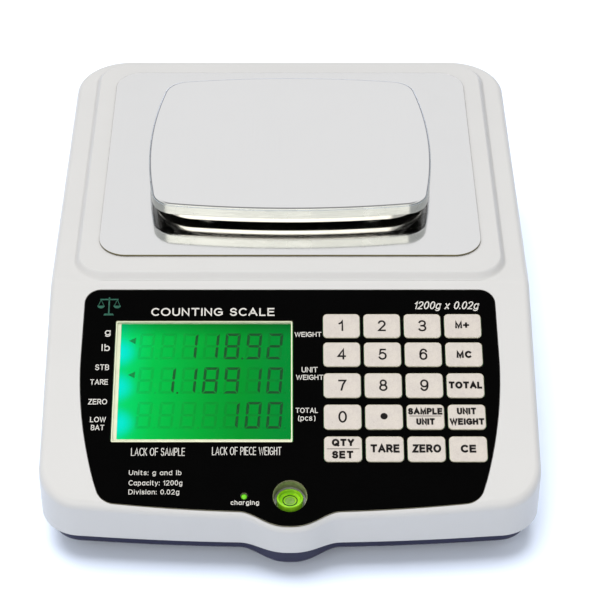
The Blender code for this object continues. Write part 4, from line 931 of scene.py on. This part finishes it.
# Words printed in white on the overlay: text, centre x, distance down the slope, width, height, pen, slant
WORDS = [
    ("COUNTING SCALE", -37.3, 17.4, 59.8, 4.4, 0.70, 0),
    ("g", -87.8, 29.3, 2.8, 3.6, 0.51, 0), ("lb", -88.4, 37, 4, 3.8, 0.51, 0),
    ("STB", -89.7, 47.7, 6.7, 3.1, 0.42, 0), ("TARE", -90.8, 55.6, 8.6, 2.9, 0.42, 0),
    ("ZERO", -91, 66.1, 9, 2.9, 0.42, 0), ("LOW", -90.4, 75.5, 7.5, 2.8, 0.42, 0),
    ("BAT", -90.4, 79.7, 6.3, 2.8, 0.42, 0), ("WEIGHT", 8.7, 29.8, 13, 2.7, 0.39, 0),
    ("UNIT", 9.4, 49, 7.7, 2.9, 0.39, 0), ("WEIGHT", 9.4, 53.1, 13.1, 2.7, 0.39, 0),
    ("TOTAL", 7.9, 70.7, 10.6, 2.7, 0.39, 0), ("(pcs)", 7.9, 75.1, 8.2, 3.4, 0.37, 0),
    ("LACK OF SAMPLE", -61.6, 92.3, 25.2, 4.1, 0.35, 0),
    ("LACK OF PIECE WEIGHT", -20.2, 91.9, 32.4, 4.2, 0.35, 0),
    ("Units: g and lb", -62.6, 103.3, 24.4, 3.1, 0.32, 0),
    ("Capacity: 1200g", -62.3, 108.5, 24.9, 3.2, 0.32, 0),
    ("Division: 0.02g", -62.9, 113.1, 23.5, 3.1, 0.32, 0),
    ("charging", -20.8, 118.4, 13.1, 2.9, 0.37, 0),
    ("1200g x 0.02g", 75.9, 14.2, 32.5, 5.4, 0.55, 0.25),
]


def panel_words():
    edit = bmesh.new()
    for text, x, down, width, height, pen, slant in WORDS:
        glyphs(edit, text, (x, down), (width, height), pen, slant)
    finished(new_object("panel_words", edit, PANEL), WHITE_INK, "case")


def balance_mark():
    """A plain pair of scales, printed in dark green in the panel's corner; its measures are millimetres."""
    centre, down = -0.0878, 0.0139
    bowl = [(1.8 * math.cos(a), 1.5 * math.sin(a)) for a in (math.radians(180 + 15 * i) for i in range(13))]
    bars = [[(-0.35, -4.6), (0.35, -4.6), (0.35, 4.6), (-0.35, 4.6)],
            [(-4.4, 3.1), (4.4, 3.1), (4.4, 3.8), (-4.4, 3.8)],
            [(-2.6, -5.4), (2.6, -5.4), (2.0, -4.4), (-2.0, -4.4)]]
    for side in (-3.9, 3.9):
        for bar in ([(-1.5, 0.0), (-1.2, 0.0), (0.1, 3.2), (-0.2, 3.2)],
                    [(1.2, 0.0), (1.5, 0.0), (0.2, 3.2), (-0.1, 3.2)], bowl):
            bars.append([(side + x, y) for x, y in bar])
    edit = bmesh.new()
    for bar in bars:
        add_print(edit, [(centre + x / 1000, -down + y / 1000) for x, y in bar], 0.0)
    finished(new_object("balance_mark", edit, PANEL), GREEN_INK, "case")


# ---- Display ----
DIGIT_SIZE = (7.2, 14.1)           # millimetres
SEGMENT_WIDTH = 1.35
DIGIT_LEAN = math.tan(math.radians(4.5))
DIGIT_COLUMNS = [-69.0, -58.5, -48.2, -37.9, -27.8, -17.4, -7.3]
DIGIT_ROWS = [(35.1, "  11892"), (53.6, " 118910"), (72.1, "    100")]
SEGMENTS_OF = {"0": "abcdef", "1": "bc", "2": "abdeg", "8": "abcdefg", "9": "abcdfg", " ": ""}
POINTS = [(-23.1, 41.9), (-53.7, 61.3)]
POINTERS = [(-75.9, 32.1), (-75.7, 50.6)]
SEGMENT_GAP = 0.22
POINT_RADIUS, POINT_ASIDE, POINT_LIFT = 0.55, 4.9, 0.4
POINT_REACH = 1.5                          # a point this near to a place in POINTS is lit
SEGMENT_LOW, SEGMENT_HIGH = 0.00001, 0.00006      # metres above the glass


def segment_shapes():
    """The seven segments of a digit about its centre, as outlines in millimetres."""
    w, h, t, c = DIGIT_SIZE[0] / 2, DIGIT_SIZE[1] / 2, SEGMENT_WIDTH, SEGMENT_GAP
    end = [(-w + c, h), (w - c, h), (w - t - c, h - t), (-w + t + c, h - t)]
    side = [(w, h - c), (w, 0.5 * t), (w - 0.5 * t, c), (w - t, 0.5 * t + c), (w - t, h - t - c)]
    middle = [(-w + t, 0.5 * t), (w - t, 0.5 * t), (w - 0.5 * t - c, 0.0), (w - t, -0.5 * t), (-w + t, -0.5 * t),
              (-w + 0.5 * t + c, 0.0)]
    turns = {"a": (end, 1, 1), "d": (end, 1, -1), "g": (middle, 1, 1), "b": (side, 1, 1), "c": (side, 1, -1),
             "f": (side, -1, 1), "e": (side, -1, -1)}
    return {name: [(x * flip_x, y * flip_y) for x, y in points] for name, (points, flip_x, flip_y) in turns.items()}


def display_marks():
    """The dark segments of the reading, the faint ones that are off, and the pointers."""
    groups = {name: bmesh.new() for name in SEGMENT_LOOKS}

    def add(group, points, x, down):
        loop = [((x + px + py * DIGIT_LEAN) / 1000, (-down + py) / 1000) for px, py in points]
        add_loft(groups[group], [raised(loop, LCD_TOP + SEGMENT_LOW), raised(loop, LCD_TOP + SEGMENT_HIGH)])

    shapes = segment_shapes()
    for down, reading in DIGIT_ROWS:
        for x, digit in zip(DIGIT_COLUMNS, reading):
            for segment, points in shapes.items():
                add("segments_on" if segment in SEGMENTS_OF[digit] else "segments_off", points, x, down)
            if (x, down) != (DIGIT_COLUMNS[-1], DIGIT_ROWS[0][0]):
                place = (x + POINT_ASIDE, down + DIGIT_SIZE[1] / 2 - POINT_LIFT)
                lit = any(math.dist(place, point) < POINT_REACH for point in POINTS)
                add("segments_on" if lit else "segments_off", circle(POINT_RADIUS, segments=12), *place)
    for x, down in POINTERS:
        add("pointers", [(-1.7, 0.0), (1.6, -1.8), (1.6, 1.8)], x, down)
    for name, edit in groups.items():
        finished(new_object("display_" + name, edit, PANEL), SEGMENT_LOOKS[name], "case", ())


def display():
    """The bezel, the marks on the glass and the window film in front of them."""
    outer = panel_rectangle(WINDOW_CENTRE, WINDOW_SIZE, -GAP, BEZEL_CORNER)
    inner = panel_rectangle(WINDOW_CENTRE, WINDOW_SIZE, -GAP - BEZEL_LIP, FILM_CORNER)
    view = panel_rectangle(LCD_VIEW_CENTRE, LCD_VIEW_SIZE, 0.0, BEZEL_CORNER)
    bezel = slab("bezel_frame", [outer, view], BEZEL_BOTTOM, BEZEL_TOP, matrix=PANEL)
    join(bezel, slab("bezel_wall", [outer, inner], BEZEL_BOTTOM + 0.0001, BEZEL_WALL_TOP, matrix=PANEL))
    finished(bezel, BEZEL, "case", ["display_bezel"])
    window = slab("window_film", [inner], FILM_BOTTOM, FILM_TOP, SHEET_BEVEL, PANEL)
    finished(window, CLEAR, "case", ["display_window"])
    display_marks()


# ---- Level, light, rear fittings and feet ----
def tube(name, outer, inner, bottom, top, matrix):
    """A ring of rectangular section, from its outer and inner radius."""
    section = ((outer, bottom), (outer, top), (inner, top), (inner, bottom))
    return loft(name, [raised(circle(radius), z) for radius, z in section], matrix, True)


def level():
    """The spirit level: a flanged cup of green liquid with its ring and bubble, in a grey-green sleeve that paints
    shade on the bore's wall.
    """
    here = Matrix.Translation((*vial_place(), 0.0))
    radius, top, floor_z = VIAL_RADIUS, VIAL_TOP_Z, LEVEL_FLOOR_Z
    low = top - VIAL_HEIGHT
    profile = [(radius - 0.0005, low), (radius, low + 0.0005), (radius, top - 0.0003), (radius - 0.0002, top),
               (radius - 0.0008, top), (radius - 0.0010, top - 0.0003), (radius - 0.0011, floor_z + 0.0003),
               (radius - 0.0016, floor_z)]
    # The liquid and the bubble carry a painted glow.
    finished(turned("level_vial_body", profile, 64, here), LEVEL_GREEN_GLOW, "case", ["level_vial"], 50.0)
    ring = tube("level_ring", *RING_RADII, floor_z, floor_z + RING_HEIGHT, here)
    finished(ring, RING_INK, "case", ())
    sunk = 0.0002
    dome = [(BUBBLE_RADIUS * math.cos(a), floor_z - sunk + BUBBLE_HEIGHT * math.sin(a))
            for a in (math.radians(10 * i) for i in range(9))]
    finished(turned("level_bubble_painted_glow", dome, 40, here), BUBBLE_GLOW, "case", (), 60.0)
    # A thin sleeve in the bore, which carries painted shade on its wall.
    bore_shade = tube("level_bore_painted_shade", LEVEL_HOLE_RADIUS - 0.00005, LEVEL_HOLE_RADIUS - 0.0003, -LEVEL_BORE_DEPTH,
                  -OVERLAY_THICKNESS, on_panel(LEVEL_PLACE))
    finished(bore_shade, LEVEL_BORE_SHADE, "case", ())


def charge_light():
    shoulder, dome = -0.0010, 0.0007
    profile = [(LED_RADIUS, -0.006), (LED_RADIUS, shoulder)]
    profile += [(LED_RADIUS * math.cos(a), shoulder + dome * math.sin(a))
                for a in (math.radians(15 * i) for i in range(1, 6))]
    lamp = turned("charge_light", profile, 32, on_panel(LED_PLACE))
    finished(lamp, LED_LOOK, "case", ["charge_led"], 60.0)


def foot_screw_profile():
    """A thumb wheel with rounded rims, and a threaded stud above it."""
    low, high, top, pitch = 0.0043, 0.0081, 0.027, 0.0010
    grip, core, crest = 0.0120, 0.00265, 0.0030
    edge, stud_foot = 0.0008, 0.0034
    profile = [(grip - edge, low), (grip, low + edge), (grip, high - edge), (grip - edge, high), (stud_foot, high)]
    z = high
    while z + pitch < top - 0.0006:
        profile += [(core, z + 0.1 * pitch), (crest, z + 0.5 * pitch), (core, z + 0.9 * pitch)]
        z += pitch
    return profile + [(0.0026, top - 0.0005), (0.0021, top)]


def scallops(angle, radius):
    """Twelve hollows round the thumb wheel, and none on the stud."""
    return 1.0 - 0.05 * (0.5 + 0.5 * math.cos(12 * angle)) ** 2 if radius > 0.010 else 1.0


def feet():
    """Scalloped thumb wheels on threaded studs, and ribbed rubber pads."""
    pad = [(0.0030, 0.0), (0.0034, 0.0005), (0.0052, 0.0005), (0.0056, 0.0), (0.0078, 0.0), (0.0082, 0.0005),
           (0.0094, 0.0005), (0.0098, 0.0), (0.0108, 0.0), (0.0115, 0.0007), (0.0115, 0.0033), (0.0110, 0.0040)]
    for name, place in FOOT_PLACES.items():
        here = Matrix.Translation((*place, 0.0))
        rubber = turned(f"pad_{name}_rubber", pad, 56, here)
        finished(rubber, RUBBER, "pad_" + name, ["foot_pad_" + name])
        wheel = turned(f"screw_{name}_wheel", foot_screw_profile(), 96, here, scallops)
        finished(wheel, BLACK, "screw_" + name, ["foot_screw_" + name])


def inlet_rim():
    """A raised rim round the power inlet on the rear wall."""
    hole, outer, height = JACK_RADIUS + GAP, JACK_RADIUS + 0.0016, 0.0011
    profile = [(outer, 0.0001), (outer, height - 0.0004), (outer - 0.0004, height), (hole, height)]
    rim = turned("inlet_rim", profile, 56, rear_frame(JACK_CENTRE))
    cut(rim, prism("inlet", circle(hole, segments=56), -0.002, 0.004, rear_frame(JACK_CENTRE)))
    finished(rim, BLACK, "case", ())


# ---- The CAD nodes that stay as they are ----
KEPT_NODES = {
    "lcd_panel": lcd_look(), "backlight_panel": DIFFUSER, "keypad_circuit": CIRCUIT, "main_board": CIRCUIT,
    "battery": BATTERY, "battery_strap": STEEL, "battery_lead": CABLE, "load_cell_cable": CABLE,
    "load_cell": ALUMINIUM, "load_cell_base": ALUMINIUM, "pan_spider": ALUMINIUM, "switch_body": BLACK,
    "switch_rocker": BLACK, "dc_jack": BLACK,
}


def dress_kept_nodes():
    for name, node in frame["nodes"].items():
        look = KEPT_NODES.get(name) or (STEEL if "bolt" in name or "case_screw" in name else None)
        if look:
            node.data.materials.clear()
            node.data.materials.append(look.material)


# ---- Camera, floor and light ----
def camera():
    """The camera that was solved from the photograph."""
    data = bpy.data.cameras.new("camera")
    data.sensor_width, data.lens, data.shift_x = 36.0, 128.1, 0.0085
    made = bpy.data.objects.new("camera", data)
    made.location = (0.0, -0.839, 0.7231)
    made.rotation_euler = (math.radians(50.8), 0.0, 0.0)
    scene.collection.objects.link(made)
    scene.camera = made


def floor():
    edit = bmesh.new()
    bmesh.ops.create_grid(edit, x_segments=1, y_segments=1, size=6.0)
    made = new_object("floor", edit)
    look = Look("floor", Roughness=0.9, Specular_IOR_Level=0.0, Base_Color=(0.72, 0.80, 0.95, 1.0))
    made.data.materials.append(look.material)


def light(name, kind, energy, place, target, mirrored, **settings):
    data = bpy.data.lights.new(name, kind)
    data.energy = energy
    for key, value in settings.items():
        setattr(data, key, value)
    made = bpy.data.objects.new(name, data)
    made.location = place
    made.rotation_euler = (Vector(target) - Vector(place)).to_track_quat("-Z", "Y").to_euler()
    made.visible_glossy = mirrored
    made.visible_camera = False
    scene.collection.objects.link(made)


def lights():
    """A large diffuser overhead, and a warm softbox in front that the steel mirrors."""
    light("overhead", "SUN", 3.7, (-0.12, 0.16, 1.0), (0.0, 0.0, 0.0), False, angle=math.radians(46.0))
    light("front", "AREA", 22.0, (-0.40, -1.7, 0.95), (0.0, 0.0, 0.03), True, shape="RECTANGLE", size=2.6,
          size_y=1.5, color=(1.0, 0.95, 0.86))


def world():
    """A pale studio: bright walls, with a dim ground below them and a greyer ceiling above."""
    made = bpy.data.worlds.new("studio")
    scene.world = made
    made.use_nodes = True
    tree = made.node_tree
    parts = tree.nodes.new("ShaderNodeSeparateXYZ")
    tree.links.new(tree.nodes.new("ShaderNodeTexCoord").outputs["Generated"], parts.inputs["Vector"])
    ramp = tree.nodes.new("ShaderNodeValToRGB")
    set_stops(ramp, [(0.0, (0.22, 0.22, 0.24)), (0.36, (0.30, 0.30, 0.32)), (0.52, (0.88, 0.88, 0.885)),
                     (0.72, (0.90, 0.90, 0.90)), (0.84, (0.80, 0.80, 0.80)), (0.91, (0.30, 0.30, 0.30))])
    tree.links.new(parts.outputs["Z"], ramp.inputs["Fac"])
    tree.links.new(ramp.outputs["Color"], tree.nodes["Background"].inputs["Color"])


scene.view_settings.view_transform = "Standard"
for build in (case_shell, raised_deck, lower_case, deck_plate, weighing_pan, pan_carrier, panel_overlay, keys, legends,
              panel_words, balance_mark, display, level, charge_light, feet, inlet_rim, dress_kept_nodes, camera,
              floor, world, lights):
    build()
